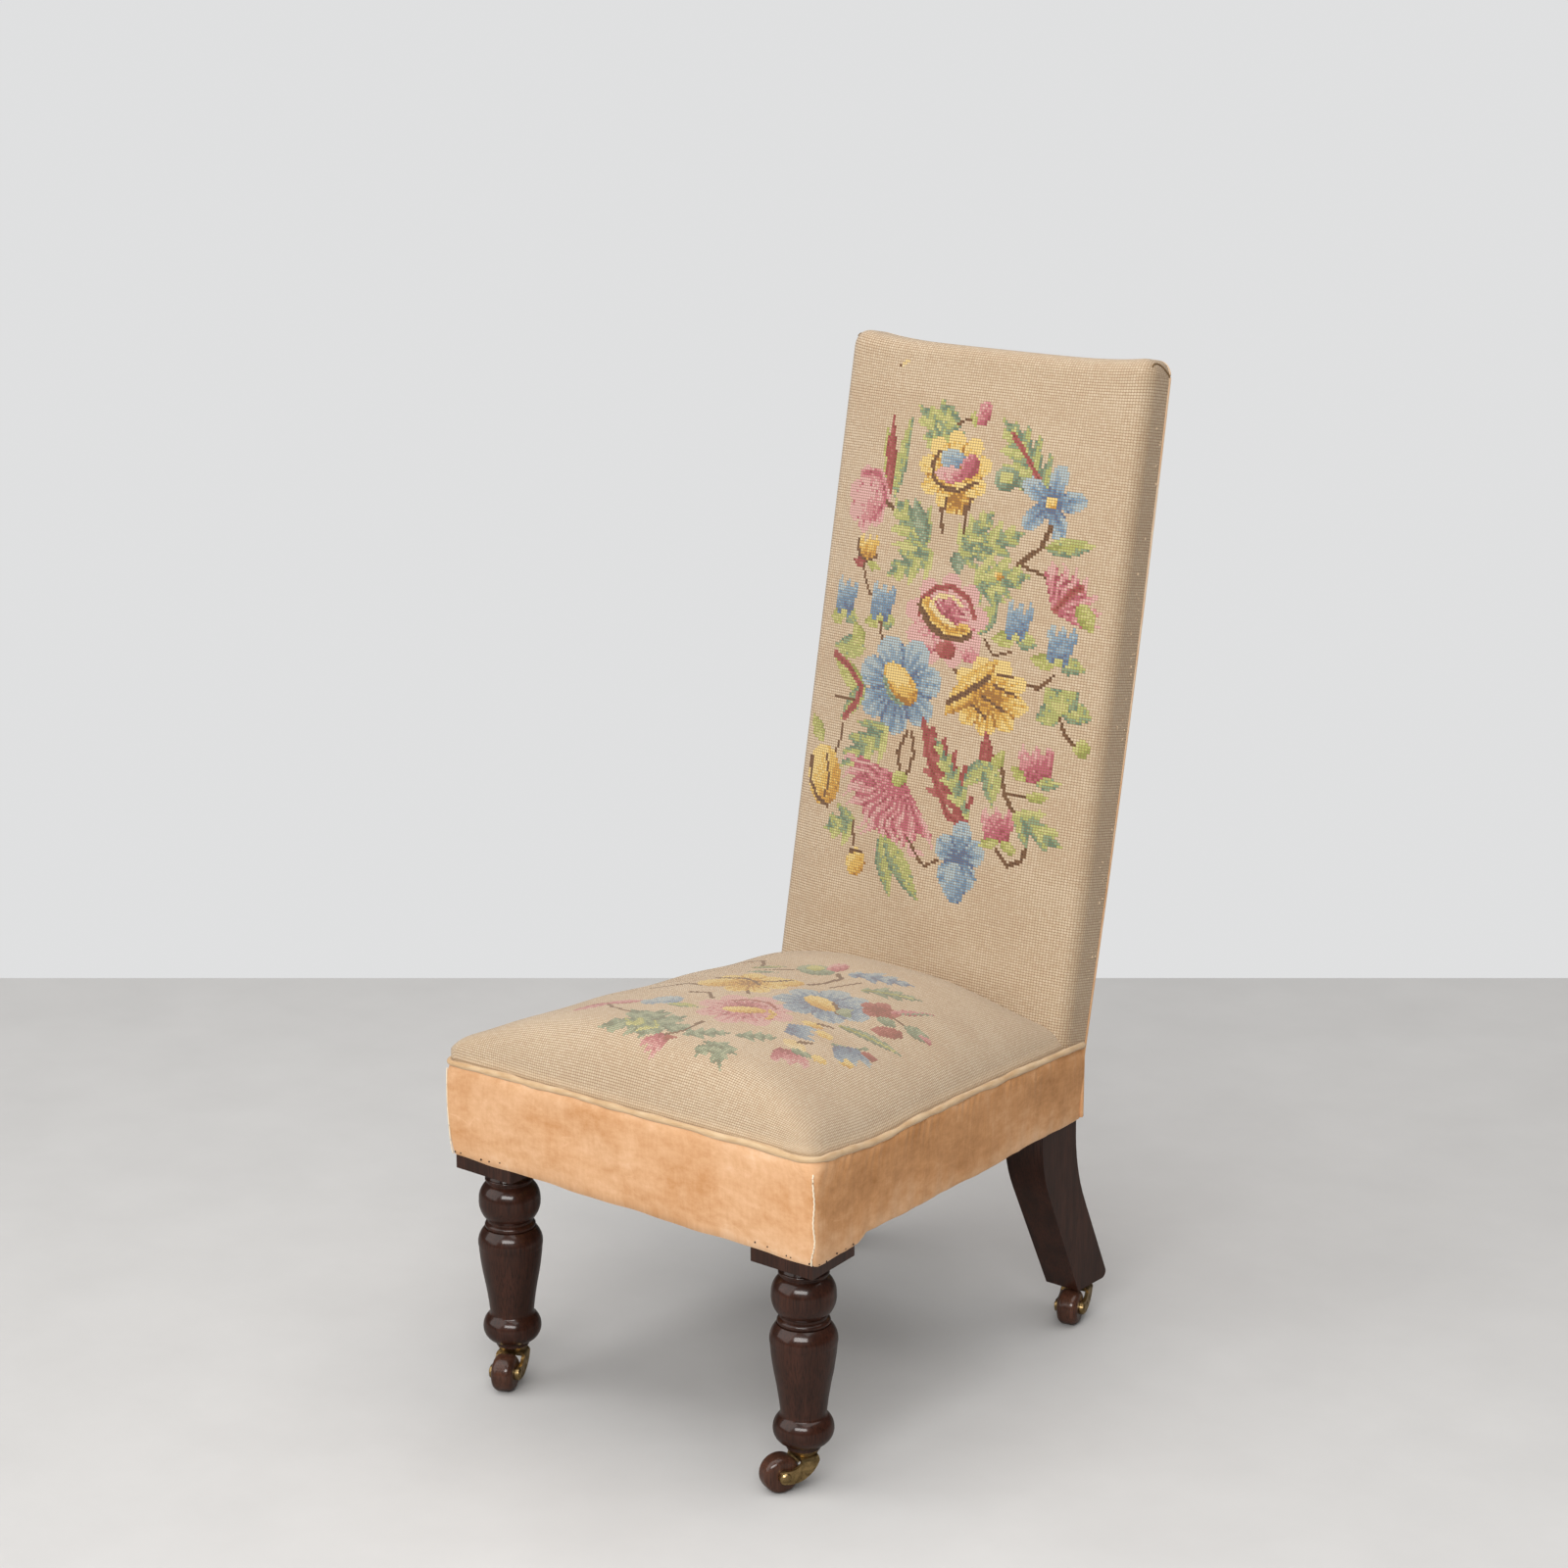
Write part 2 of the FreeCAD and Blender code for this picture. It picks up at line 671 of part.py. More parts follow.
def make_rear_post(side_name, side, holes):
    name = f"{side_name}_rear_post"
    body = new_body(name + "_blank")
    place(body)
    near_face = "post_inner" if side == "1" else "-post_outer"
    profile = attach(body, "YZ_Plane", name + "_profile", lift=near_face)
    draw(profile, [
        ("foot_front", "leg_bottom"),
        ("foot_rear - foot_ease", "leg_bottom", "foot_round", 1),
        ("foot_rear - foot_ease * sin(sabre_angle)", "leg_bottom + foot_ease * cos(sabre_angle)"),
        ("rear_bend_y", "rear_bend_end", "rear_bend_radius", -1),
        ("post_rear", "rear_bend_height"),
        ("post_rear", "back_bend"),
        (back_y("0", "stile_height"), back_z("0", "stile_height")),
        (back_y("-stile_depth", "stile_height"), back_z("-stile_depth", "stile_height")),
        ("stile_foot_y", "post_top"),
        ("post_front", "post_top"),
        ("post_front", "front_bend_height", "front_bend_radius", 1),
        ("front_bend_y", "front_bend_end"),
    ])
    pad(body, profile, "post_width")

    head = back_z("-stile_depth", "stile_height") + f" + {OVERCUT}"
    slimmer = attach(body, "XZ_Plane", name + "_foot_taper")
    draw(slimmer, [
        (f"{side} * (post_inner - {OVERCUT})", "leg_bottom"),
        (f"{side} * (post_outer - post_foot_width)", "leg_bottom"),
        (f"{side} * post_inner", "front_bend_height"),
        (f"{side} * (post_inner - {OVERCUT})", "front_bend_height"),
    ])
    cut_through(body, slimmer, "FootTaper")
    stile = attach(body, "XZ_Plane", name + "_stile_trim")
    draw(stile, [
        (f"{side} * (post_inner - {OVERCUT})", "post_top"),
        (f"{side} * stile_inner", "post_top"),
        (f"{side} * stile_inner", head),
        (f"{side} * (post_inner - {OVERCUT})", head),
    ])
    cut_through(body, stile, "StileTrim")
    corner = attach(body, "XZ_Plane", name + "_top_corner")
    draw(corner, [
        (f"{side} * (post_outer + {OVERCUT})", f"{back_z('0', 'stile_height')} - stile_chamfer - {OVERCUT}"),
        (f"{side} * (post_outer + {OVERCUT})", head),
        (f"{side} * (post_outer - stile_chamfer - {OVERCUT})", head),
    ])
    cut_through(body, corner, "TopCorner")
    bored(body, holes, name)


def make_rails(holes):
    front = prism("front_rail_blank", [
        ("-block_inner", "border_thickness"),
        ("block_inner", "border_thickness"),
        ("block_inner", "front_rail_rear"),
        ("-block_inner", "front_rail_rear"),
    ], rail_bottom("border_thickness"), f"{rail_top('front_rail_rear')} - {rail_bottom('border_thickness')}")
    place(front)
    bored(front, holes, "front_seat_rail")

    rear = prism("rear_rail_blank", [
        ("-post_inner", "rear_rail_front"),
        ("post_inner", "rear_rail_front"),
        ("post_inner", "post_rear"),
        ("-post_inner", "post_rear"),
    ], rail_bottom("rear_rail_front"), f"{rail_top('post_rear')} - {rail_bottom('rear_rail_front')}")
    place(rear)
    bored(rear, holes, "rear_seat_rail")

    for side_name, side in SIDES.items():
        name = f"{side_name}_seat_rail"
        body = new_body(name + "_blank")
        place(body)
        plan = attach(body, "XY_Plane", name + "_plan", lift=rail_bottom("post_front"))
        draw(plan, [
            (f"{side} * {rail_inner('block_rear')}", "block_rear"),
            (f"{side} * {rail_outer('block_rear')}", "block_rear"),
            (f"{side} * {rail_outer('post_front')}", "post_front"),
            (f"{side} * {rail_inner('post_front')}", "post_front"),
        ])
        pad(body, plan, f"{rail_top('block_rear')} - {rail_bottom('post_front')}")
        before = f"block_rear - {OVERCUT}"
        past = f"post_front + {OVERCUT}"
        over = attach(body, "YZ_Plane", name + "_top_slope")
        draw(over, [
            (before, rail_top(before)),
            (past, rail_top(past)),
            (past, f"{rail_top(before)} + {OVERCUT}"),
            (before, f"{rail_top(before)} + {OVERCUT}"),
        ])
        cut_through(body, over, "TopSlope")
        under = attach(body, "YZ_Plane", name + "_bottom_slope")
        draw(under, [
            (before, f"{rail_bottom(past)} - {OVERCUT}"),
            (past, f"{rail_bottom(past)} - {OVERCUT}"),
            (past, rail_bottom(past)),
            (before, rail_bottom(before)),
        ])
        cut_through(body, under, "BottomSlope")
        bored(body, holes, name)


def make_braces(holes):
    """Diagonal blocks glued and screwed across the four corners of the seat frame."""
    braces = []
    wide = "brace_thickness * sqrt(2)"
    for side_name, side in SIDES.items():
        for end in ("front", "rear"):
            if end == "front":
                corner_x, corner_y, rail_y, away = "block_inner", "block_rear", "front_rail_rear", "1"
            else:
                corner_x, corner_y, rail_y, away = "post_inner", "post_front", "rear_rail_front", "-1"
            at_rail = f"({corner_x} - {away} * ({corner_y} - {rail_y}))"
            points = []
            for inner in ("0", wide):
                start_x = f"({at_rail} - {inner})"
                side_there = f"({rail_inner('0')} + {away} * taper * ({start_x}) - taper * {rail_y})"
                meet = f"({side_there} / (1 + {away} * taper))"
                points.append((start_x, meet, f"({rail_y} + {away} * ({meet} - {start_x}))"))
            outline = [
                (f"{side} * {points[0][0]}", rail_y),
                (f"{side} * {points[0][1]}", points[0][2]),
                (f"{side} * {points[1][1]}", points[1][2]),
                (f"{side} * {points[1][0]}", rail_y),
            ]
            bottom = f"{rail_bottom(corner_y)} + brace_margin"
            height = f"{rail_top(corner_y)} - {rail_bottom(corner_y)} - 2 * brace_margin"
            brace = prism(f"brace_{side_name}_{end}", outline, bottom, height)
            place(brace)
            braces.append(brace)
    bored(group("brace_blanks", braces), holes, "corner_braces")


def make_back_rails(holes):
    for label, start, height in (
            ("back_lower_rail", "lower_rail_start", "lower_rail_height"),
            ("back_top_rail", "stile_height - top_rail_height", "top_rail_height")):
        rail = box(label + "_blank", ("-stile_inner", "-stile_depth", start),
                   ("2 * stile_inner", "stile_depth", height))
        lean_back(rail)
        bored(rail, holes, label)


# What fills and covers the seat.

def make_seat_webbing():
    webs = []
    tilt = {"axis": Vector(-1, 0, 0), "angle": "atan(bottom_slope)"}
    half = "webbing_width / 2"
    for step in ("-1", "0", "1"):
        web = box(f"web_long_{len(webs)}", (f"{step} * webbing_spacing - {half}", "webbing_landing",
                                            "-webbing_thickness"),
                  ("webbing_width", "post_rear - 2 * webbing_landing", "webbing_thickness"))
        place(web, z=rail_bottom("0"), **tilt)
        webs.append(web)
    for step in ("-1", "0", "1"):
        y = f"({web_middle()} + {step} * webbing_spacing)"
        reach = f"({rail_outer(f'{y} + {half}')} - webbing_landing)"
        web = box(f"web_cross_{len(webs)}", (f"-{reach}", f"{y} - {half}", "-2 * webbing_thickness"),
                  (f"2 * {reach}", "webbing_width", "webbing_thickness"))
        place(web, z=rail_bottom("0"), **tilt)
        webs.append(web)
    finish(group("seat_webbing", webs), "seat_webbing")


def make_dust_cover(holes):
    """The cloth tacked under the seat, notched round the legs and posts."""
    corners = mirrored([
        ("block_inner - cloth_margin", "border_thickness + cloth_margin"),
        ("block_inner - cloth_margin", "block_rear + cloth_margin"),
        (f"{rail_outer('block_rear')} - cloth_margin", "block_rear + cloth_margin"),
        (f"{rail_outer('post_front')} - cloth_margin", "post_front - cloth_margin"),
        ("post_inner - cloth_margin", "post_front - cloth_margin"),
        ("post_inner - cloth_margin", "post_rear - cloth_margin"),
    ])
    cloth = prism("dust_cover_blank", corners, "-2 * webbing_thickness - dust_thickness", "dust_thickness")
    place(cloth, z=rail_bottom("0"), axis=Vector(-1, 0, 0), angle="atan(bottom_slope)")
    bored(cloth, holes, "dust_cover")


def make_springs():
    """Coil springs stitched to the webbing: four under the corners of the seat and one in the middle."""
    coils = []
    spots = [("0", web_middle())]
    for side in SIDES.values():
        for step in ("-1", "1"):
            spots.append((f"{side} * webbing_spacing", f"({web_middle()} + {step} * webbing_spacing)"))
    for index, (x, y) in enumerate(spots):
        low = f"({rail_bottom(y)} + spring_wire + soft_gap)"
        high = f"({rail_top(y)} - spring_wire - soft_gap)"
        helix = document.addObject("Part::Helix", f"spring_line_{index}")
        helix.setExpression("Radius", formula("spring_radius"))
        helix.setExpression("Height", formula(f"{high} - {low}"))
        helix.setExpression("Pitch", formula(f"({high} - {low}) / spring_turns"))
        helix.SegmentLength = COIL_SEGMENT
        place(helix, x=x, y=y, z=low)
        wire = document.addObject("Part::Circle", f"spring_wire_{index}")
        wire.setExpression("Radius", formula("spring_wire"))
        wire.Placement = Placement(Vector(), Rotation(Vector(1, 0, 0), 90))
        wire.setExpression("Placement.Base.x", formula(f"{x} + spring_radius"))
        wire.setExpression("Placement.Base.y", formula(f"{y} - origin_back"))
        wire.setExpression("Placement.Base.z", formula(low))
        document.recompute()
        coil = document.addObject("Part::Sweep", f"spring_{index}")
        coil.Sections = [wire]
        coil.Spine = (helix, [f"Edge{edge + 1}" for edge in range(len(helix.Shape.Edges))])
        coil.Solid = True
        coil.Frenet = True
        coils.append(coil)
    finish(group("seat_springs", coils), "seat_springs")


def make_spring_hessian():
    corners = mirrored([
        (f"{rail_outer('border_thickness')} - 3 * cloth_margin", "border_thickness + cloth_margin"),
        (f"{rail_outer('stile_foot_y')} - 3 * cloth_margin", "stile_foot_y - cloth_margin"),
        ("stile_inner - cloth_margin", "stile_foot_y - cloth_margin"),
        ("stile_inner - cloth_margin", "post_rear - cloth_margin"),
    ])
    cloth = prism("spring_hessian_body", corners, "0", "hessian_thickness")
    place(cloth, z=rail_top("0"), axis=Vector(-1, 0, 0), angle="atan(seam_slope)")
    finish(cloth, "spring_hessian")


def seat_outline(body, name, inset, rear, lift):
    """The seat's outline in plan at a height above the seam, with rounded front corners."""
    sketch = attach(body, "XY_Plane", name, lift=lift)
    turn_x = f"({side_line(inset, inset)} - seat_corner * (slant + taper))"
    turn_y = f"({inset} + seat_corner)"
    draw(sketch, [
        (f"-{turn_x}", inset),
        (turn_x, inset, "seat_corner", 1),
        (f"{turn_x} + seat_corner / slant", f"{turn_y} + seat_corner * taper / slant"),
        (side_line(rear, inset), rear),
        (f"-{side_line(rear, inset)}", rear),
        (f"-({turn_x} + seat_corner / slant)", f"{turn_y} + seat_corner * taper / slant", "seat_corner", 1),
    ])
    return sketch


def crown_sections(body, name, inset, rear, sink, foot):
    """Outlines from the foot of the seat's pad to its crown, sunk by a thickness."""
    return [
        seat_outline(body, name + "_foot", inset, rear, foot),
        seat_outline(body, name + "_edge", inset, rear, "seat_piping_radius + 2"),
        seat_outline(body, name + "_shoulder", f"({inset} + seat_shoulder_inset)", f"({rear} - 4)",
                     f"seat_shoulder_rise + seat_piping_radius - {sink}"),
        seat_outline(body, name + "_crown", f"({inset} + seat_crown_inset)",
                     f"({rear} - seat_crown_inset / 2)", f"seat_crown_rise - {sink}"),
    ]


def on_seam(piece):
    place(piece, z="seam_front", axis=Vector(-1, 0, 0), angle="atan(seam_slope)")


def make_seat_pad():
    stuffing = new_body("seat_stuffing_body")
    on_seam(stuffing)
    inner_inset = "(cover_inset + cover_thickness + soft_gap)"
    inner_rear = "(seat_pad_rear - cover_thickness)"
    foot = "hessian_thickness - seam_drop + soft_gap"
    sink = "(cover_thickness + soft_gap)"
    loft(stuffing, crown_sections(stuffing, "stuffing", inner_inset, inner_rear, sink, foot))
    finish(stuffing, "seat_stuffing")

    cover = new_body("seat_cover_body")
    on_seam(cover)
    start = "seat_piping_radius + soft_gap"
    loft(cover, crown_sections(cover, "cover", "cover_inset", "seat_pad_rear", "0", start))
    hollow = crown_sections(cover, "hollow", "(cover_inset + cover_thickness)", inner_rear, "cover_thickness",
                            "seat_piping_radius - 2")
    loft(cover, hollow, "PartDesign::SubtractiveLoft", "Hollow")
    finish(cover, "seat_cover")


def make_seat_borders():
    """The velvet round the seat: a front panel, and side panels that run back over the posts."""
    half = "seat_front_width / 2"
    top = f"({seam_at('0')} - seat_piping_radius - soft_gap)"
    bottom = f"({rail_bottom('0')} - border_hem)"
    front = box("seat_border_front_body", (f"-{half}", "0", bottom),
                ("seat_front_width", "border_thickness", f"{top} - {bottom}"))
    place(front)
    finish(front, "seat_border_front")
    start = "border_thickness * (slant + taper)"
    end = "seat_depth * slant"
    for side_name, side in SIDES.items():
        name = f"seat_border_{side_name}"
        body = new_body(name + "_body")
        place(body, x=f"{side} * {half}", axis=Vector(0, 0, int(side)), angle="atan(taper)")
        near_face = "-border_thickness" if side == "1" else "0"
        panel = attach(body, "YZ_Plane", name + "_panel", lift=near_face)
        draw(panel, [
            (start, bottom),
            (end, f"{rail_bottom('seat_depth')} - border_hem"),
            (end, f"{seam_at('seat_depth')} - seat_piping_radius - soft_gap"),
            (start, top),
        ])
        pad(body, panel, "border_thickness")
        finish(body, name)


def make_seat_piping():
    """The welt along the seam, from one stile round the front corners to the other."""
    body = new_body("seat_piping_body")
    on_seam(body)
    inset = "piping_inset"
    turn_x = f"({side_line(inset, inset)} - seat_corner * (slant + taper))"
    tangent_x = f"({turn_x} + seat_corner / slant)"
    tangent_y = f"({inset} + seat_corner + seat_corner * taper / slant)"
    end_y = "(stile_foot_y - soft_gap)"
    path = attach(body, "XY_Plane", "seat_piping_path")
    draw(path, [
        (f"-{side_line(end_y, inset)}", end_y),
        (f"-{tangent_x}", tangent_y, "seat_corner", 1),
        (f"-{turn_x}", inset),
        (turn_x, inset, "seat_corner", 1),
        (tangent_x, tangent_y),
        (side_line(end_y, inset), end_y),
    ], closed=False)
    section = attach(body, "XZ_Plane", "seat_piping_section", lift=f"-{end_y}")
    circle(section, f"-{side_line(end_y, inset)}", "0", "seat_piping_radius")
    sweep(body, section, path)
    finish(body, "seat_piping")


def sweep(body, section, path):
    feature = body.newObject("PartDesign::AdditivePipe", "Sweep")
    feature.Profile = section
    document.recompute()
    feature.Spine = (path, [f"Edge{edge + 1}" for edge in range(len(path.Shape.Edges))])
    return feature


# What fills and covers the back.

def make_back_webbing():
    webs = []
    reach = "(post_outer - webbing_landing)"
    half = "webbing_width / 2"
    middle = "(lower_rail_start + stile_height) / 2"
    for step in ("-2", "-1", "0", "1", "2"):
        low = f"{middle} + {step} * back_web_spacing - {half}"
        web = box(f"back_web_cross_{len(webs)}", (f"-{reach}", "-stile_depth - webbing_thickness", low),
                  (f"2 * {reach}", "webbing_thickness", "webbing_width"))
        lean_back(web)
        webs.append(web)
    for step in ("-0.5", "0.5"):
        web = box(f"back_web_long_{len(webs)}",
                  (f"{step} * back_web_spacing - {half}", "-stile_depth - 2 * webbing_thickness",
                   "lower_rail_start + webbing_landing"),
                  ("webbing_width", "webbing_thickness",
                   "stile_height - lower_rail_start - 2 * webbing_landing"))
        lean_back(web)
        webs.append(web)
    finish(group("back_webbing", webs), "back_webbing")


def make_back_hessian():
    cloth = box("back_hessian_body",
                ("-(post_outer - cloth_margin)", "-pad_front", "back_start + cloth_margin"),
                ("2 * (post_outer - cloth_margin)", "hessian_thickness",
                 "stile_height - stile_chamfer - back_start - 2 * cloth_margin"))
    lean_back(cloth)
    finish(cloth, "back_hessian")


def back_outline(body, name, half, low, high, corner, depth):
    """The back's outline with rounded top corners, at a depth in front of the stiles' rear faces."""
    sketch = attach(body, "XZ_Plane", name, lift=depth)
    draw(sketch, [
        (f"-({half})", low),
        (half, low),
        (half, f"{high} - {corner}", corner, 1),
        (f"{half} - {corner}", high),
        (f"-({half} - {corner})", high, corner, 1),
        (f"-({half})", f"{high} - {corner}"),
    ])
    return sketch


def back_sections(body, name, inset, low, first_depth, edge_depth):
    """Outlines from the rear of the back's pad to its crowned front, inset by a thickness."""
    half = f"(back_width / 2 - {inset})"
    high = f"(back_height - {inset})"
    corner = f"(back_corner - {inset} / 2)"
    crown_half = f"({half} - back_crown_inset)"
    return [
        back_outline(body, name + "_rear", half, low, high, corner, first_depth),
        back_outline(body, name + "_edge", half, low, high, corner, edge_depth),
        back_outline(body, name + "_crown", crown_half, f"({low} + back_crown_inset)",
                     f"({high} - back_crown_inset)", corner, f"{edge_depth} + back_crown"),
    ]


def make_back_pad():
    stuffing = new_body("back_stuffing_body")
    lean_back(stuffing)
    low = "(back_start + cover_thickness)"
    loft(stuffing, back_sections(stuffing, "pad", "(side_cover_thickness + soft_gap)", low, "pad_front",
                                 "(pad_edge - soft_gap)"))
    finish(stuffing, "back_stuffing")

    cover = new_body("back_cover_body")
    lean_back(cover)
    loft(cover, back_sections(cover, "cover", "0", "back_start", "0", "back_side_depth"))
    below = f"(back_start - {OVERCUT})"
    hollow = back_sections(cover, "hollow", "side_cover_thickness", below, f"-{OVERCUT}", "pad_edge")
    loft(cover, hollow, "PartDesign::SubtractiveLoft", "Hollow")
    finish(cover, "back_cover")


def make_outside_back():
    """The velvet panel behind: upright over the rear rail, then raked with the stiles."""
    body = new_body("outside_back_body")
    place(body)
    profile = attach(body, "YZ_Plane", "outside_back_profile", lift="-panel_half")
    thick = "outside_thickness"
    draw(profile, [
        ("post_rear", f"{rail_bottom('seat_depth')} - border_hem"),
        (f"post_rear + {thick}", f"{rail_bottom('seat_depth')} - border_hem"),
        (f"post_rear + {thick}", f"back_bend - {thick} * tan(rake / 2)"),
        (back_y(thick, "panel_top"), back_z(thick, "panel_top")),
        (back_y("0", "panel_top"), back_z("0", "panel_top")),
        ("post_rear", "back_bend"),
    ])
    pad(body, profile, "2 * panel_half")
    head = f"{back_z('0', 'panel_top')} + {OVERCUT}"
    cut_foot = f"{back_z(thick, 'panel_top')} - panel_corner - {OVERCUT}"
    for side_name, side in SIDES.items():
        corner = attach(body, "XZ_Plane", f"outside_back_{side_name}_corner")
        draw(corner, [
            (f"{side} * (panel_half + {OVERCUT})", cut_foot),
            (f"{side} * (panel_half + {OVERCUT})", head),
            (f"{side} * (panel_half - panel_corner - {OVERCUT})", head),
        ])
        cut_through(body, corner, "PanelCorner")
    finish(body, "outside_back")


def make_back_piping():
    """The velvet welt along the rear edge of the back: up one side, over the top, down the other."""
    body = new_body("back_piping_body")
    lean_back(body)
    half = "(back_width / 2 - back_piping_radius)"
    high = "(back_height - back_piping_radius)"
    corner = "(back_corner - back_piping_radius)"
    low = "(back_start + 2)"
    behind = "(back_piping_radius + soft_gap)"
    path = attach(body, "XZ_Plane", "back_piping_path", lift=f"-{behind}")
    draw(path, [
        (half, low),
        (half, f"{high} - {corner}", corner, 1),
        (f"{half} - {corner}", high),
        (f"-({half} - {corner})", high, corner, 1),
        (f"-{half}", f"{high} - {corner}"),
        (f"-{half}", low),
    ], closed=False)
    section = attach(body, "XY_Plane", "back_piping_section", lift=low)
    circle(section, half, behind, "back_piping_radius")
    sweep(body, section, path)
    finish(body, "back_piping")


# Castors: each stands at the foot of a leg, with its own +X along the trail.

def make_castor(name, x, y, heading):
    def stand(piece, along="0", z="0"):
        place(piece, x=f"{x} + ({along}) * cos({heading})", y=f"{y} - ({along}) * sin({heading})", z=z,
              axis=Vector(0, 0, -1), angle=heading)

    mount = new_body(name + "_mount_body")
    stand(mount)
    profile = attach(mount, "XZ_Plane", name + "_mount_profile")
    rivet_top = "horn_bottom - swivel_gap"
    draw(profile, [
        ("0", f"{rivet_top} - rivet_height"),
        ("rivet_radius", f"{rivet_top} - rivet_height"),
        ("rivet_radius", rivet_top),
        ("pin_radius", rivet_top),
        ("pin_radius", "collar_bottom"),
        ("collar_bottom_radius", "collar_bottom"),
        ("foot_neck_radius", "leg_bottom"),
        ("stem_radius", "leg_bottom"),
        ("stem_radius", "leg_bottom + stem_length"),
        ("0", "leg_bottom + stem_length"),
    ])
    turn(mount, profile)
    finish(mount, name + "_mount")

    make_horn(name, stand)

    axle = new_body(name + "_axle_body")
    stand(axle, along="trail", z="wheel_radius")
    profile = attach(axle, "XY_Plane", name + "_axle_profile")
    draw(profile, [
        ("0", "-arm_outer - axle_head_height"),
        ("axle_head_radius - axle_head_height", "-arm_outer - axle_head_height"),
        ("axle_head_radius", "-arm_outer"),
        ("axle_radius", "-arm_outer"),
        ("axle_radius", "arm_outer"),
        ("axle_head_radius", "arm_outer"),
        ("axle_head_radius - axle_head_height", "arm_outer + axle_head_height"),
        ("0", "arm_outer + axle_head_height"),
    ])
    turn(axle, profile)
    finish(axle, name + "_axle")

    wheel = new_body(name + "_wheel_body")
    stand(wheel, along="trail", z="wheel_radius")
    profile = attach(wheel, "XY_Plane", name + "_wheel_profile")
    draw(profile, [
        ("axle_radius + running_fit", "-wheel_width / 2"),
        ("wheel_face_radius", "-wheel_width / 2", 0.78, 1),
        ("wheel_radius", "-wheel_tread / 2"),
        ("wheel_radius", "wheel_tread / 2", 0.78, 1),
        ("wheel_face_radius", "wheel_width / 2"),
        ("axle_radius + running_fit", "wheel_width / 2"),
    ])
    turn(wheel, profile)
    finish(wheel, name + "_wheel")


def make_horn(name, stand):
    """The brass fork: a bridge and two arms in section, cut to a curved horn from the side."""
    arch = new_body(name + "_horn_arch")
    stand(arch)
    low = "wheel_radius - horn_boss - 1"
    section = attach(arch, "YZ_Plane", name + "_horn_section", lift="-2 * horn_back")
    draw(section, [
        ("-arm_outer", low),
        ("-arm_inner", low),
        ("-arm_inner", "horn_bottom"),
        ("arm_inner", "horn_bottom"),
        ("arm_inner", low),
        ("arm_outer", low),
        ("arm_outer", "horn_top - horn_round", "horn_round", 1),
        ("arm_outer - horn_round", "horn_top"),
        ("-(arm_outer - horn_round)", "horn_top", "horn_round", 1),
        ("-arm_outer", "horn_top - horn_round"),
    ])
    pad(arch, section, "3 * horn_back + trail + horn_boss")

    side = new_body(name + "_horn_side")
    stand(side)
    outline = attach(side, "XZ_Plane", name + "_horn_outline", lift="-2 * arm_outer")
    draw(outline, [
        ("-horn_back", "horn_top"),
        ("-horn_back", "horn_top - horn_shank", 0.75, 1),
        ("trail", "wheel_radius - horn_boss", "horn_boss", 1),
        ("trail + horn_boss", "wheel_radius", "horn_boss", 1),
        ("trail", "wheel_radius + horn_boss", 0.95, -1),
        ("horn_front", "horn_bottom - 1"),
        ("horn_front", "horn_top"),
    ])
    pad(side, outline, "4 * arm_outer")

    blank = document.addObject("Part::Common", name + "_horn_blank")
    blank.Base = arch
    blank.Tool = side
    pin = document.addObject("Part::Cylinder", name + "_pin_hole")
    pin.setExpression("Radius", formula("pin_radius + running_fit"))
    pin.setExpression("Height", formula("leg_bottom"))
    stand(pin)
    bore = new_body(name + "_axle_hole")
    stand(bore, along="trail", z="wheel_radius")
    ring = attach(bore, "XZ_Plane", name + "_axle_bore", lift="-2 * arm_outer")
    circle(ring, "0", "0", "axle_radius")
    pad(bore, ring, "4 * arm_outer")
    bored(blank, group(name + "_horn_holes", [pin, bore]), name + "_horn")


def main():
    dowel_holes = make_dowels()
    screw_holes = make_screws()
    tack_holes = make_tacks()
    holes = group("fastening_holes", dowel_holes + tack_holes)
    screw_tools = group("screw_holes", screw_holes)
    post_holes = group("post_holes", dowel_holes + screw_holes + make_stem_holes())
    make_rails(holes)
    for side_name, side in SIDES.items():
        make_front_leg(side_name, side, post_holes)
        make_rear_post(side_name, side, post_holes)
    make_braces(screw_tools)
    make_back_rails(holes)
    make_seat_webbing()
    make_dust_cover(holes)
    make_springs()
    make_spring_hessian()
    make_seat_pad()
    make_seat_borders()
    make_seat_piping()
    make_back_webbing()
    make_back_hessian()
    make_back_pad()
    make_outside_back()
    make_back_piping()
    for side_name, side in SIDES.items():
        for end, x, y in (("front", "leg_x", "leg_y"), ("rear", "foot_x", "foot_y")):
            make_castor(f"{side_name}_{end}_castor", f"{side} * {x}", y, f"{side_name}_{end}_heading")
    document.recompute()

    for item in document.Objects:
        if "Invalid" in item.State or "Error" in item.State:
            raise RuntimeError(f"{item.Label} failed: {item.State}")
    for piece in finished:
        if piece.Shape.isNull() or not piece.Shape.isValid() or not piece.Shape.Solids:
            raise RuntimeError(f"{piece.Label} has no valid solid")
    os.makedirs("parts", exist_ok=True)
    for piece in finished:
        piece.Shape.exportStep(f"parts/{piece.Label}.step")
        box_of = piece.Shape.BoundBox
        print(f"{piece.Label}: {len(piece.Shape.Solids)} solids, {piece.Shape.Volume / 1000:.1f} cm3, "
              f"z {box_of.ZMin:.1f} to {box_of.ZMax:.1f}")


main()
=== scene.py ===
"""A low nursing chair: needlework seat and back, velvet border, turned legs and brass castors.

Lengths are millimetres until settle() turns them to metres. Across is +X, height is Z, and y is measured
back from the front face of the seat. On the back, rise runs up its rake and depth comes forward from the
rear faces of its stiles.
"""
import json
import math

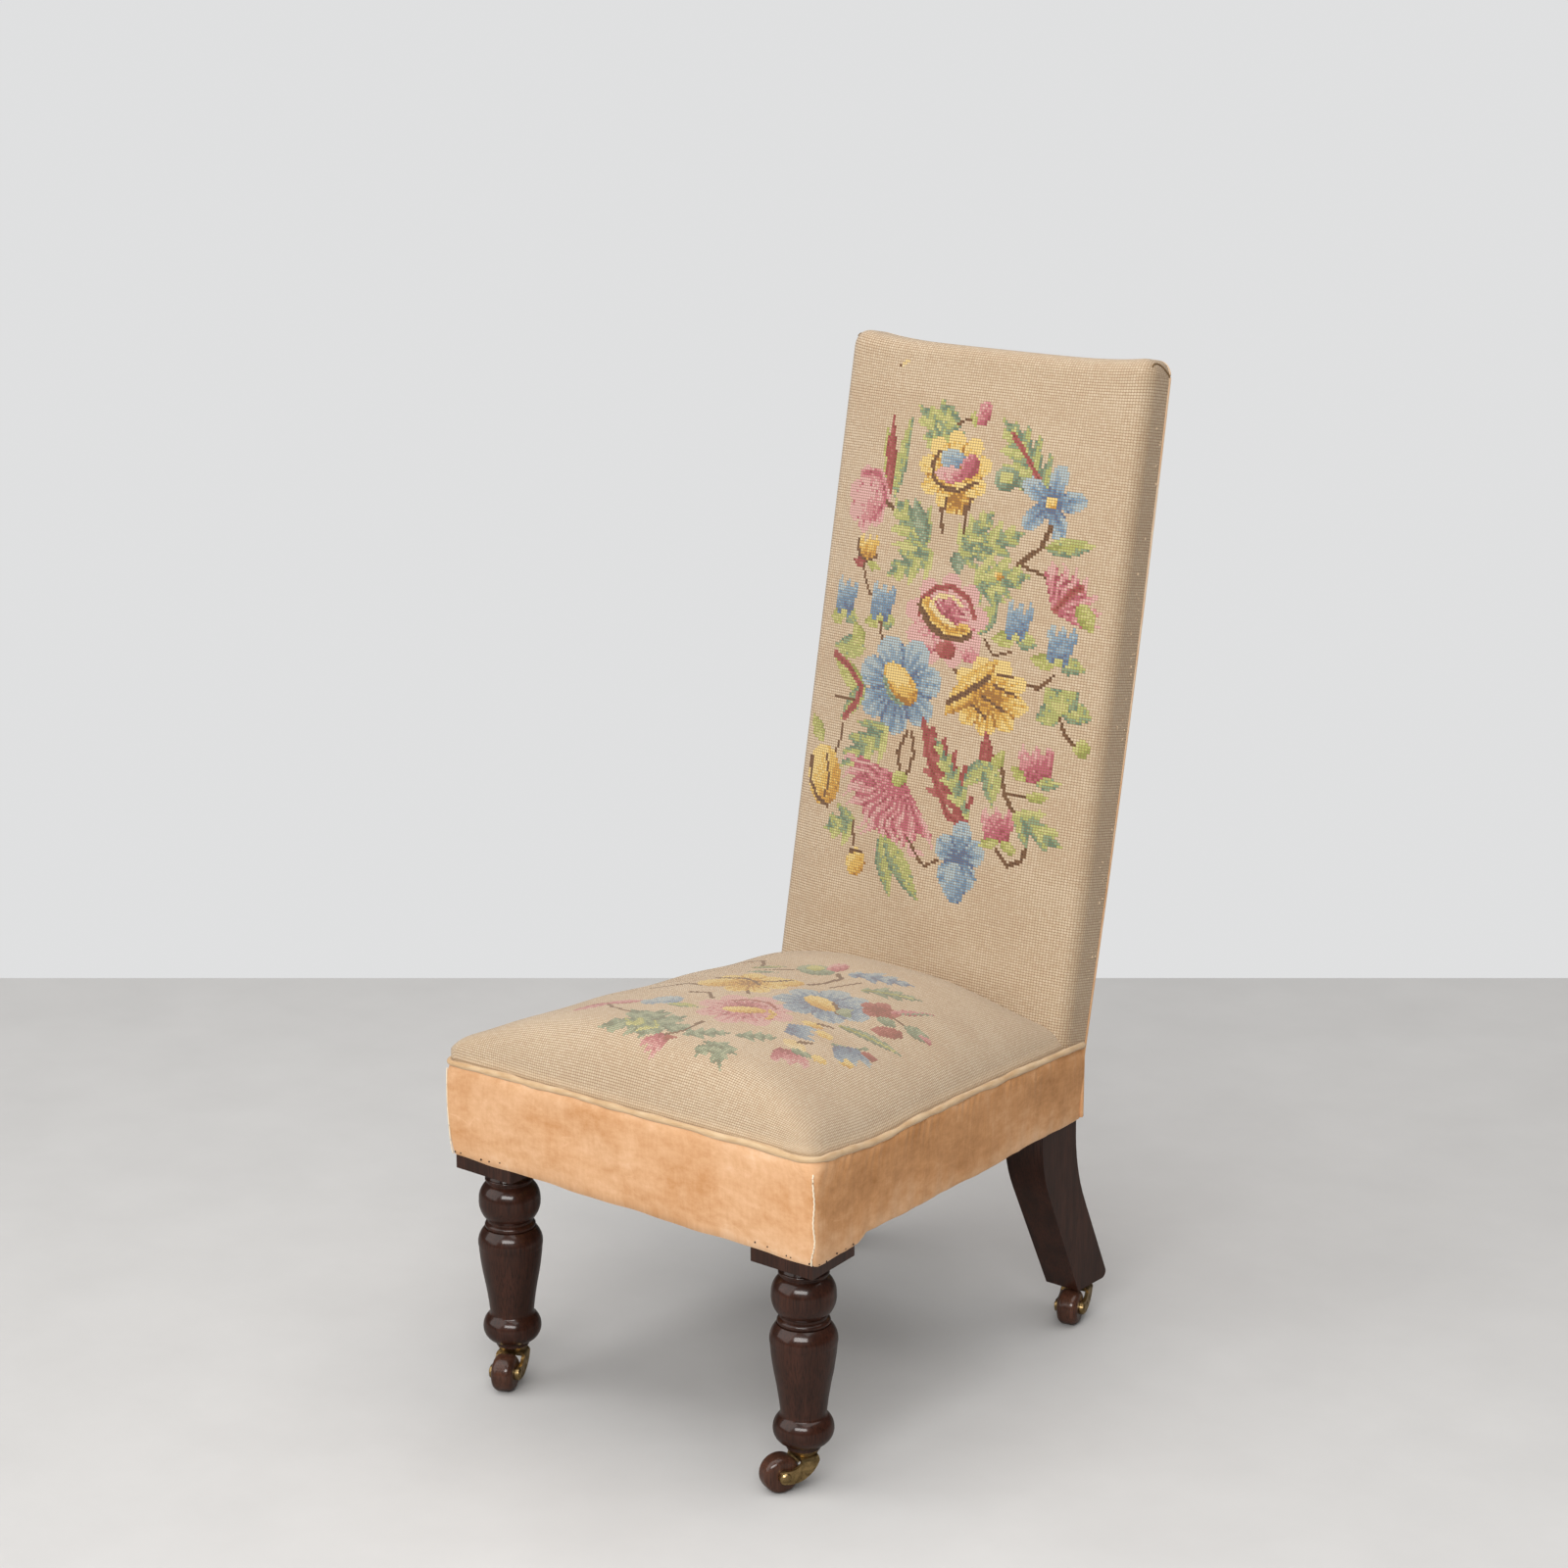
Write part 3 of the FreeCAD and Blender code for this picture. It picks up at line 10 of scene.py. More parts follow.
import bpy
import numpy as np
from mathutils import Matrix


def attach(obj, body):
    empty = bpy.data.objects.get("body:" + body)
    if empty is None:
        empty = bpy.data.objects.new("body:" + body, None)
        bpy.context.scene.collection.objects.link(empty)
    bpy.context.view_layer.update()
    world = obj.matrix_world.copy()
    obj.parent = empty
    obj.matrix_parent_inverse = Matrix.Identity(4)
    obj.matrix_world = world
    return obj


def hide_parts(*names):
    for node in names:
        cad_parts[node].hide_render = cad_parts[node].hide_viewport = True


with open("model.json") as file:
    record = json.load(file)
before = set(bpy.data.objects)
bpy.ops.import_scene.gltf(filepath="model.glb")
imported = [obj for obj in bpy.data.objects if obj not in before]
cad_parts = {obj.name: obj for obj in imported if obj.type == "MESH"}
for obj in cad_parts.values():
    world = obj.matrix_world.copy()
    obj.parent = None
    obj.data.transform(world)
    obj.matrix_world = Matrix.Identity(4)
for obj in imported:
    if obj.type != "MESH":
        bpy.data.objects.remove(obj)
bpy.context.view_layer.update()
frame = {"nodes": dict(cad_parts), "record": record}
chance = np.random.default_rng(1871)

MILLIMETRE = 0.001
SIDES = (("left", -1.0), ("right", 1.0))
SEAT_FRONT = 292.34
SEAT_HALF = 215.0
SEAT_TAPER = 0.084946
SEAT_SLANT = math.hypot(1.0, SEAT_TAPER)
SEAT_REAR = 465.0
SEAM_FRONT = 323.0
SEAM_SLOPE = 0.05591
SEAT_CORNER = {"left": 8.0, "right": 16.0}
ROLL_HEIGHT = 22.6
DOME_HEIGHT = 47.2
DOME_MIDDLE = 196.0
DOME_REACH = 235.3
DOME_EDGE = 19.0
WELT_RADIUS = 3.1
WELT_INSET = 1.0
COVER_INSET = 3.0
POST_REAR = 462.0
BACK_BEND = 277.97
RAKE = math.radians(10.5)
BACK_HALF = 177.0
BACK_TOP = 667.0
BACK_CORNER = 18.0
BACK_EDGE = 16.0
BACK_CROWN = 13.0
BACK_DEPTH = 39.0
BACK_THINNING = 5.0
BACK_BOW = 5.0
EAR_HEIGHT = 8.5
BACK_FULLEST = 300.0
SEAT_STITCH = 2.5
BACK_STITCH_WIDE = 2.9
BACK_STITCH_HIGH = 2.58
WOOL_SCATTER = 0.10
GROUND_SCATTER = 0.24
# Painted shade: how much the seat's stitches darken in the crease beside the welt.
SEAT_CREASE_SHADE = np.array([0.30, 0.36, 0.44])
# Painted shade: how much the stitches round the back's sides darken and brown.
SIDE_SHADE = np.array([0.16, 0.19, 0.23])
BORDER_FALL = 88.0
PLEAT_RADIUS = 0.75
THREAD_RADIUS = 0.75
CAMERA_PLACE = (1.9232, -2.4501, 1.3935)
CAMERA_YAW = math.radians(38.89)
CAMERA_DROP = math.radians(14.97)


# Colours.

def dye(code):
    """A colour written as six hexadecimal digits, as linear red, green and blue."""
    value = np.array([int(code[i:i + 2], 16) for i in (0, 2, 4)]) / 255.0
    return np.where(value <= 0.04045, value / 12.92, ((value + 0.055) / 1.055) ** 2.4)


WOOL = {
    "ground": [dye("d0bca1"), dye("cbb69a"), dye("c7b094")],
    "gold": [dye("9c6a28"), dye("c8943a"), dye("dcb45c"), dye("e8cb82")],
    "rose": [dye("94384f"), dye("b3586c"), dye("cb858c"), dye("d8a9a5")],
    "ruby": [dye("7e2631"), dye("963a42"), dye("aa585a")],
    "blue": [dye("44668a"), dye("5f86a2"), dye("809fb2"), dye("a3b7bd")],
    "lime": [dye("8c954c"), dye("a9ae60"), dye("c2c17c")],
    "sage": [dye("52705e"), dye("708d76"), dye("95a88c")],
    "leaf": [dye("5a7c68"), dye("829a78"), dye("abb26c"), dye("c4c480")],
    "bark": [dye("4f321f"), dye("63432c")],
    "cream": [dye("e6d3a4"), dye("e0c68e")],
}


# Meshes: every new piece is a grid of points.

def settle(points):
    """Millimetres measured from the seat's front face, as metres in the chair's frame."""
    return (points - np.array([0.0, SEAT_FRONT, 0.0])) * MILLIMETRE


def together(*axes):
    """Coordinates given one by one, as points."""
    return np.stack(np.broadcast_arrays(*axes), axis=-1)


def middles(grid):
    """The middle of each quad of a grid."""
    return (grid[:-1, :-1] + grid[1:, 1:]) / 2


def length_along(*axes):
    """The length of a line up to each of its points."""
    return np.concatenate([[0.0], np.cumsum(np.linalg.norm(np.diff(axes), axis=0))])


def lay_grid(name, points, slot, nodes=(), finish=None, fit=None, ring=False, flip=False, keep=None,
             stitches=None, wear_and_painted_light=None):
    """One quad between each four neighbouring points of a grid, in its slot's finish or another.

    ring joins the last column to the first, keep marks the quads that stay, stitches gives each quad a
    colour, wear_and_painted_light gives each point a value for wear and painted light, and fit holds the
    cloth's own two coordinates.
    """
    rows, columns = points.shape[:2]
    order = np.arange(rows * columns).reshape(rows, columns)
    if ring:
        order = np.concatenate([order, order[:, :1]], axis=1)
    quads = np.stack([order[:-1, :-1], order[:-1, 1:], order[1:, 1:], order[1:, :-1]], axis=-1)
    quads = quads.reshape(-1, 4)
    flat = settle(points).reshape(-1, 3)
    diagonal = np.cross(flat[quads[:, 2]] - flat[quads[:, 0]], flat[quads[:, 3]] - flat[quads[:, 1]])
    least_area = 1e-9
    wide = np.linalg.norm(diagonal, axis=1) > least_area
    if keep is not None:
        wide &= keep.reshape(-1)
    quads = quads[wide]
    if flip:
        quads = quads[:, ::-1]
    mesh = bpy.data.meshes.new(name)
    mesh.from_pydata(flat.tolist(), [], quads.tolist())
    mesh.polygons.foreach_set("use_smooth", np.ones(len(quads), bool))
    if fit is not None:
        layer = mesh.uv_layers.new(name="fit")
        layer.data.foreach_set("uv", fit.reshape(-1, 2)[quads.reshape(-1)].astype(np.float32).ravel())
    if stitches is not None:
        tint = mesh.color_attributes.new("wool", "FLOAT_COLOR", "CORNER")
        shown = np.concatenate([stitches.reshape(-1, 3)[wide], np.ones((len(quads), 1))], axis=1)
        tint.data.foreach_set("color", np.repeat(shown, 4, axis=0).astype(np.float32).ravel())
    if wear_and_painted_light is not None:
        worn = mesh.attributes.new("wear_and_painted_light", "FLOAT", "POINT")
        worn.data.foreach_set("value", wear_and_painted_light.reshape(-1).astype(np.float32))
    mesh.materials.append(FINISHES[finish or slot])
    mesh.update()
    piece = bpy.data.objects.new(name, mesh)
    bpy.context.scene.collection.objects.link(piece)
    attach(piece, "chair")
    if nodes:
        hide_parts(*nodes)
    return piece


def tube(name, path, radius, slot, nodes=(), finish=None, sides=12):
    """A round section carried along a path; the radius closes to a point at both ends."""
    path = np.asarray(path, float)
    ahead = np.gradient(path, axis=0)
    ahead /= np.linalg.norm(ahead, axis=1, keepdims=True)
    out = np.cross(ahead, np.array([0.0, 0.0, 1.0]))
    steep = np.linalg.norm(out, axis=1, keepdims=True) < 0.25
    out = np.where(steep, np.cross(ahead, np.array([0.0, 1.0, 0.0])), out)
    out /= np.linalg.norm(out, axis=1, keepdims=True)
    over = np.cross(out, ahead)
    held = np.pad(np.arange(len(path)), 2, mode="edge")
    size = np.broadcast_to(np.asarray(radius, float), len(path))[held].copy()
    beyond = np.zeros(len(held))
    tip, shoulder, shoulder_size, tip_radius = 0.6, 0.45, 0.7, 0.01
    beyond[[0, 1, -2, -1]] = [-tip, -shoulder, shoulder, tip]
    centre = path[held] + ahead[held] * (beyond * size)[:, None]
    size[[1, -2]] *= shoulder_size
    size[[0, -1]] = tip_radius
    angle = np.linspace(0.0, 2 * math.pi, sides, endpoint=False)
    ring = np.cos(angle)[:, None] * out[held][:, None] + np.sin(angle)[:, None] * over[held][:, None]
    points = centre[:, None] + size[:, None, None] * ring
    fit = together(length_along(*centre.T)[:, None], size.max() * angle) * MILLIMETRE
    return lay_grid(name, points, slot, nodes, finish, fit, ring=True)


def lumps(across, along, size):
    """A gentle unevenness: the mean of slow waves in random directions, about -1 to 1."""
    waves = 14
    heading = chance.uniform(0, 2 * math.pi, waves)
    start = chance.uniform(0, 2 * math.pi, waves)
    length = size * chance.uniform(0.7, 1.6, waves)
    total = 0.0
    for turn, phase, span in zip(heading, start, length):
        way = across * math.cos(turn) + along * math.sin(turn)
        total = total + np.sin(way * 2 * math.pi / span + phase)
    return total / math.sqrt(waves / 2)


# Needlework: shapes of coloured wool counted out on a canvas of stitches.

class Canvas:
    """A canvas of stitches: where each one is, and the colour of its wool."""

    def __init__(self, across, along, dull):
        self.across, self.along = across, along
        self.shape = across.shape
        self.dull = dull
        streaks = 0.12 * lumps(across * 0.25, along, 40.0)
        shade = 0.5 + streaks + chance.normal(0, GROUND_SCATTER, self.shape)
        self.colour = self.pick(WOOL["ground"], shade)

    def pick(self, shades, position):
        """The wool nearest a position from 0, the first shade, to 1, the last."""
        place = np.clip(np.floor(position * len(shades)), 0, len(shades) - 1).astype(int)
        return np.array(shades)[place]

    def sew(self, inside, wool, position):
        """Covers the stitches inside a shape, the shade following a position with some scatter."""
        scattered = position + chance.normal(0, WOOL_SCATTER, self.shape)
        thread = self.pick(WOOL[wool], scattered)
        thread = thread + (WOOL["ground"][1] * 0.9 - thread) * self.dull
        self.colour = np.where(inside[..., None], thread, self.colour)

    def about(self, centre, lean=0.0):
        """Each stitch's place from a centre, turned by a lean in degrees."""
        right, up = self.across - centre[0], self.along - centre[1]
        cosine, sine = math.cos(math.radians(lean)), math.sin(math.radians(lean))
        return right * cosine + up * sine, up * cosine - right * sine

    def leaf(self, base, tip, width, wool="leaf", vein=None, lobes=0):
        """A leaf: a sine-shaped width along a line, one half lighter, its middle or its lobes paler."""
        line = np.subtract(tip, base)
        length = math.hypot(*line)
        right, up = self.about(base, math.degrees(math.atan2(line[1], line[0])))
        share = np.clip(right / length, 0, 1)
        half = width / 2 * np.sin(math.pi * share ** 0.8)
        swept_back, lobe_depth = 0.30, 0.42
        lobe = np.cos(2 * math.pi * lobes * share - np.abs(up) * swept_back) if lobes else 0 * up
        half = half * (1 + lobe_depth * lobe)
        inside = (np.abs(up) < half) & (right > 0) & (right < length)
        safe_half = np.maximum(half, 1.0)
        middle = 0.42 - 0.9 * np.minimum(np.abs(up) / safe_half, 1.0) ** 2
        position = 0.5 + 0.24 * up / safe_half + (0.26 * lobe if lobes else 0.34 * middle)
        self.sew(inside, wool, position)
        if vein:
            vein_half, vein_end = 1.6, 0.85
            self.sew(inside & (np.abs(up) < vein_half) & (share < vein_end), vein, share)

    def stem(self, points, width=3.0, wool="bark"):
        """A stem: every stitch within half a width of a line of straight runs."""
        nearest = np.full(self.shape, np.inf)
        for start, end in zip(points[:-1], points[1:]):
            line = np.subtract(end, start)
            right, up = self.about(start)
            share = np.clip((right * line[0] + up * line[1]) / (line @ line), 0, 1)
            gap = np.hypot(right - share * line[0], up - share * line[1])
            nearest = np.minimum(nearest, gap)
        self.sew(nearest < width / 2, wool, 0.3 + nearest / width)

    def flower(self, centre, reach, petals, wool, turn=0.0, tall=1.0, eye=None, dark=0.0, cut=0.34,
               point=0.55):
        """A round flower: the reach swings with the petals by a cut, sharper as the point grows.

        The shade pales outwards, and the joins between petals are dark.
        """
        right, up = self.about(centre)
        up = up / tall
        distance = np.hypot(right, up)
        swing = np.abs(np.cos(petals / 2 * (np.arctan2(up, right) - math.radians(turn)))) ** point
        edge = reach * (1 - cut + cut * swing)
        vein = 0.16 * np.cos(petals * 3 * np.arctan2(up, right))
        position = 0.95 * distance / edge - dark - 0.55 * (swing < 0.42) + 0.2 * up / reach + vein
        self.sew(distance < edge, wool, position)
        if eye:
            self.spot(centre, eye[0], eye[1], "gold", dark=-0.3)

    def spot(self, centre, wide, high, wool, lean=0.0, dark=0.0):
        """An oval whose upper left is pale and lower right is dark."""
        right, up = self.about(centre, lean)
        distance = np.hypot(right / wide, up / high)
        self.sew(distance < 1, wool, 0.55 - 0.28 * right / wide + 0.28 * up / high - dark)

    def bell(self, centre, wide, high, wool, lean=0.0):
        """A bell or tulip standing up: sides that open upwards and a rim of three tips, dark below."""
        tips = 3
        right, up = self.about(centre, lean)
        share = up / high + 0.5
        half = wide / 2 * (0.48 + 0.52 * np.sqrt(np.clip(share, 0, 1)))
        saw = np.abs(((right / wide + 0.5) * tips) % 1.0 - 0.5) * 2
        inside = (np.abs(right) < half) & (share > 0) & (share < 1.0 - 0.34 * saw)
        self.sew(inside, wool, 0.15 + 0.75 * share - 0.3 * right / wide)

    def fan(self, root, heading, spread, reach, wool, rays):
        """A carnation: a fan from its root with a ragged edge and dark and pale rays."""
        right, up = self.about(root, heading)
        distance = np.hypot(right, up)
        share = np.degrees(np.arctan2(up, right)) / spread
        bent = share + 0.05 * lumps(right, up, 34.0)
        saw = np.abs((bent * rays / 2) % 1.0 - 0.5) * 2
        inside = (np.abs(share) < 1) & (distance < reach * (0.70 + 0.30 * saw))
        ray = 0.34 * np.cos(bent * rays * math.pi) * np.clip(distance / reach + 0.2, 0, 1)
        self.sew(inside, wool, 0.36 + 0.34 * distance / reach + ray)


def count_stitches(points):
    """Each point's column and row on the canvas."""
    rows, columns = np.indices(points.shape[:2])
    return together(columns, rows)


def sew_back_flowers(canvas):
    """The bouquet on the back, from its top to its foot: x across and rise up the back."""
    leaf, stem, spot = canvas.leaf, canvas.stem, canvas.spot
    flower, bell, fan = canvas.flower, canvas.bell, canvas.fan
    # A small hole near the top edge, its dark spot painted shade, with its pulled thread.
    spot((-109, 640), 1.6, 1.4, "bark")
    stem([(-106, 640), (-104, 643), (-101, 645)], 3, "cream")
    # The top: a lobed leaf, a rosebud and three long blades.
    for tip in ((-78, 606), (-50, 614), (-31, 604), (-65, 577)):
        leaf((-38, 573), tip, 26, lobes=2)
    stem([(-27, 591), (-17, 597), (-8, 598)])
    leaf((-7, 590), (-12, 608), 8, "lime")
    spot((1, 604), 8, 13, "rose", -12)
    leaf((-92, 512), (-83, 597), 14)
    leaf((-97, 508), (-113, 584), 12, "lime")
    leaf((-98, 512), (-107, 595), 13, "ruby")
    # The gold flower with a heart of blue and rose.
    flower((-22, 546), 44, 9, "gold", 15, 0.9, dark=-0.12)
    flower((-14, 519), 20, 5, "gold", 90, 0.85, dark=0.10)
    stem([(-43, 563), (-50, 550), (-46, 536), (-34, 529), (-14, 527), (6, 538)], 4)
    stem([(-28, 520), (-27, 508)])
    stem([(3, 522), (0, 510)])
    spot((-27, 557), 15, 10, "blue", dark=-0.15)
    spot((-27, 542), 18, 8, "rose", dark=-0.2)
    spot((-5, 552), 11, 12, "rose", dark=0.2)
    stem([(-32, 509), (-28, 487)], 4)
    stem([(-3, 513), (-1, 485)], 4)
    # The leaf with a ruby rib, a green bud and the blue star.
    leaf((84, 537), (24, 602), 40, lobes=4)
    stem([(38, 588), (60, 566), (82, 540)], 5, "ruby")
    leaf((48, 543), (76, 543), 12, "sage")
    spot((40, 545), 14, 12, "sage")
    spot((39, 546), 8, 6, "lime", dark=-0.4)
    flower((93, 528), 38, 5, "blue", 80, eye=(6, 6), cut=0.68, point=1.1)
    stem([(96, 505), (89, 485), (67, 466)], 5)
    leaf((92, 485), (147, 493), 19, vein="lime")
    # The rose at the left edge, its leaves, and a gold tulip under it.
    flower((-124, 508), 28, 7, "rose", 60, 1.2, dark=-0.25)
    stem([(-136, 532), (-116, 534), (-105, 520), (-104, 504), (-113, 490)], 9, "rose")
    spot((-127, 505), 15, 17, "rose", dark=-0.35)
    stem([(-101, 508), (-86, 499)], 4)
    leaf((-44, 468), (-91, 512), 42, lobes=3)
    leaf((-46, 472), (-66, 516), 18, "sage")
    bell((-115, 461), 27, 27, "gold")
    stem([(-129, 468), (-127, 453), (-114, 447), (-103, 453)])
    leaf((-116, 445), (-134, 446), 9, "ruby")
    leaf((-114, 446), (-96, 441), 10, "lime")
    stem([(-118, 443), (-112, 428), (-104, 415)])
    # Lobed leaves in the middle, and the carnation at the right.
    leaf((-6, 466), (70, 497), 38, lobes=4)
    leaf((-4, 468), (32, 514), 30, lobes=3)
    leaf((-34, 465), (-88, 436), 32, lobes=3)
    leaf((-8, 470), (-2, 446), 16, "sage")
    leaf((16, 446), (82, 456), 36, lobes=3)
    leaf((18, 446), (58, 428), 24, lobes=2)
    spot((46, 453), 5, 4, "gold")
    stem([(70, 465), (88, 461), (104, 455)])
    fan((110, 426), 46, 66, 50, "rose", 7)
    stem([(112, 428), (128, 448), (136, 452)], 7, "ruby")
    leaf((136, 438), (154, 410), 18, "lime")
    # Four blue bells, each on two leaves, and their stems.
    for middle, foot_left, foot_right in (
            ((-137, 410), (-157, 386), (-116, 389)), ((-88, 411), (-107, 388), (-68, 391)),
            ((74, 414), (46, 392), (99, 393)), ((123, 397), (92, 379), (152, 376))):
        foot = (middle[0] + 1, middle[1] - 18)
        leaf(foot, foot_left, 17, "lime")
        leaf(foot, foot_right, 17)
        bell(middle, 33, 40, "blue", -4)
        spot((middle[0], middle[1] - 17), 5, 4, "lime", dark=-0.3)
    stem([(-87, 390), (-85, 379), (-75, 366)])
    stem([(39, 390), (51, 376), (70, 382)])
    stem([(74, 359), (106, 352), (122, 368)])
    leaf((30, 394), (48, 428), 20)
    stem([(2, 366), (16, 346)])
    # The large rose.
    flower((-9, 402), 50, 9, "rose", 10, 0.92, dark=-0.34)
    flower((-10, 408), 35, 8, "rose", 30, 0.86, dark=-0.05)
    stem([(-42, 404), (-40, 420), (-26, 432), (-6, 435), (14, 426), (23, 410)], 6, "ruby")
    stem([(-34, 414), (-24, 424), (-6, 426), (8, 418)], 4, "cream")
    stem([(-38, 414), (-26, 398), (-6, 388), (16, 392)], 14)
    stem([(-35, 416), (-22, 402), (-4, 393), (14, 396)], 11, "gold")
    stem([(-30, 414), (-16, 404), (0, 398)], 5, "cream")
    spot((-30, 374), 15, 9, "rose", 20, -0.25)
    spot((22, 375), 15, 9, "rose", -20, -0.2)
    spot((-5, 374), 12, 9, "ruby")
    # The large blue flower, and leaves to its left.
    flower((-55, 333), 51, 7, "blue", 12, 0.96, dark=0.02, cut=0.3)
    spot((-54, 334), 26, 15, "gold", -38, dark=0.10)
    spot((-56, 336), 20, 10, "gold", -38, dark=-0.30)
    stem([(-74, 336), (-66, 322), (-50, 314)], 5, "sage")
    leaf((-102, 362), (-146, 360), 24)
    leaf((-106, 364), (-122, 386), 18, "lime")
    leaf((-96, 318), (-146, 354), 21, "lime")
    leaf((-96, 326), (-124, 288), 18)
    stem([(-142, 351), (-120, 341), (-101, 324), (-105, 308), (-119, 292)], 7, "ruby")
    stem([(-136, 311), (-108, 311)])
    # The gold lily, and a sprig of four leaves to its right.
    flower((52, 337), 46, 9, "gold", 30, 0.85, dark=-0.05)
    leaf((2, 312), (60, 376), 26, "gold")
    stem([(6, 325), (28, 338), (50, 356)], 6)
    for stroke in ([(34, 326), (52, 316)], [(44, 336), (70, 326)],
                   [(56, 348), (82, 342)], [(60, 360), (78, 358)]):
        stem(stroke)
    for tip in ((107, 322), (164, 331), (114, 356), (146, 356)):
        leaf((132, 337), tip, 23)
    spot((132, 338), 7, 6, "lime", dark=-0.3)
    stem([(132, 328), (138, 314), (149, 304)])
    spot((157, 302), 8, 9, "lime")
    # The long ruby leaf, and the gold bud at the left edge.
    leaf((-61, 290), (-118, 242), 36, lobes=3)
    stem([(-119, 284), (-122, 266), (-128, 250)])
    leaf((-146, 262), (-166, 288), 16, "lime")
    stem([(-39, 288), (-47, 268), (-42, 250)], 3.4)
    stem([(-33, 288), (-28, 268), (-33, 246)], 3.4)
    leaf((44, 210), (-22, 304), 38, "ruby", lobes=5)
    leaf((46, 216), (-8, 292), 20, lobes=5)
    stem([(-21, 302), (-8, 262), (20, 216), (36, 210)], 7, "ruby")
    spot((-139, 230), 23, 31, "gold", 12, -0.1)
    stem([(-160, 246), (-158, 222), (-144, 206), (-128, 200)], 4)
    stem([(-138, 250), (-132, 228), (-134, 210)])
    # The foot: a carnation, a gold bud and a blue pansy.
    fan((-36, 243), -122, 72, 80, "rose", 11)
    spot((-41, 242), 9, 8, "lime")
    leaf((-89, 192), (-130, 178), 30, lobes=2)
    stem([(-91, 190), (-89, 168)])
    spot((-83, 152), 12, 14, "gold", dark=-0.1)
    stem([(-91, 162), (-76, 163)], 4)
    leaf((-54, 184), (-36, 124), 22)
    leaf((-50, 184), (0, 126), 22)
    stem([(-21, 186), (-4, 166), (2, 163), (18, 172)])
    flower((40, 178), 30, 5, "blue", 90, 1.2, cut=0.45)
    spot((38, 152), 13, 20, "blue", 10, -0.1)
    # Two rose bells on one winding stem, and the leaves near them.
    bell((80, 217), 42, 36, "rose", 8)
    leaf((84, 201), (60, 194), 11, "lime")
    leaf((86, 201), (106, 192), 11, "lime")
    stem([(77, 274), (83, 247), (96, 232), (115, 208), (112, 187), (97, 180), (83, 193)], 4)
    stem([(83, 247), (113, 248)])
    bell((113, 281), 42, 38, "rose", 6)
    leaf((104, 262), (86, 276), 11, "lime")
    leaf((116, 262), (142, 266), 12)
    leaf((96, 231), (152, 205), 28, lobes=2)
    leaf((106, 248), (132, 250), 11, "lime")
    leaf((60, 262), (54, 304), 16, "ruby")
    leaf((64, 264), (78, 290), 14, "lime")
    leaf((60, 276), (34, 246), 20)
    leaf((64, 276), (71, 232), 22)


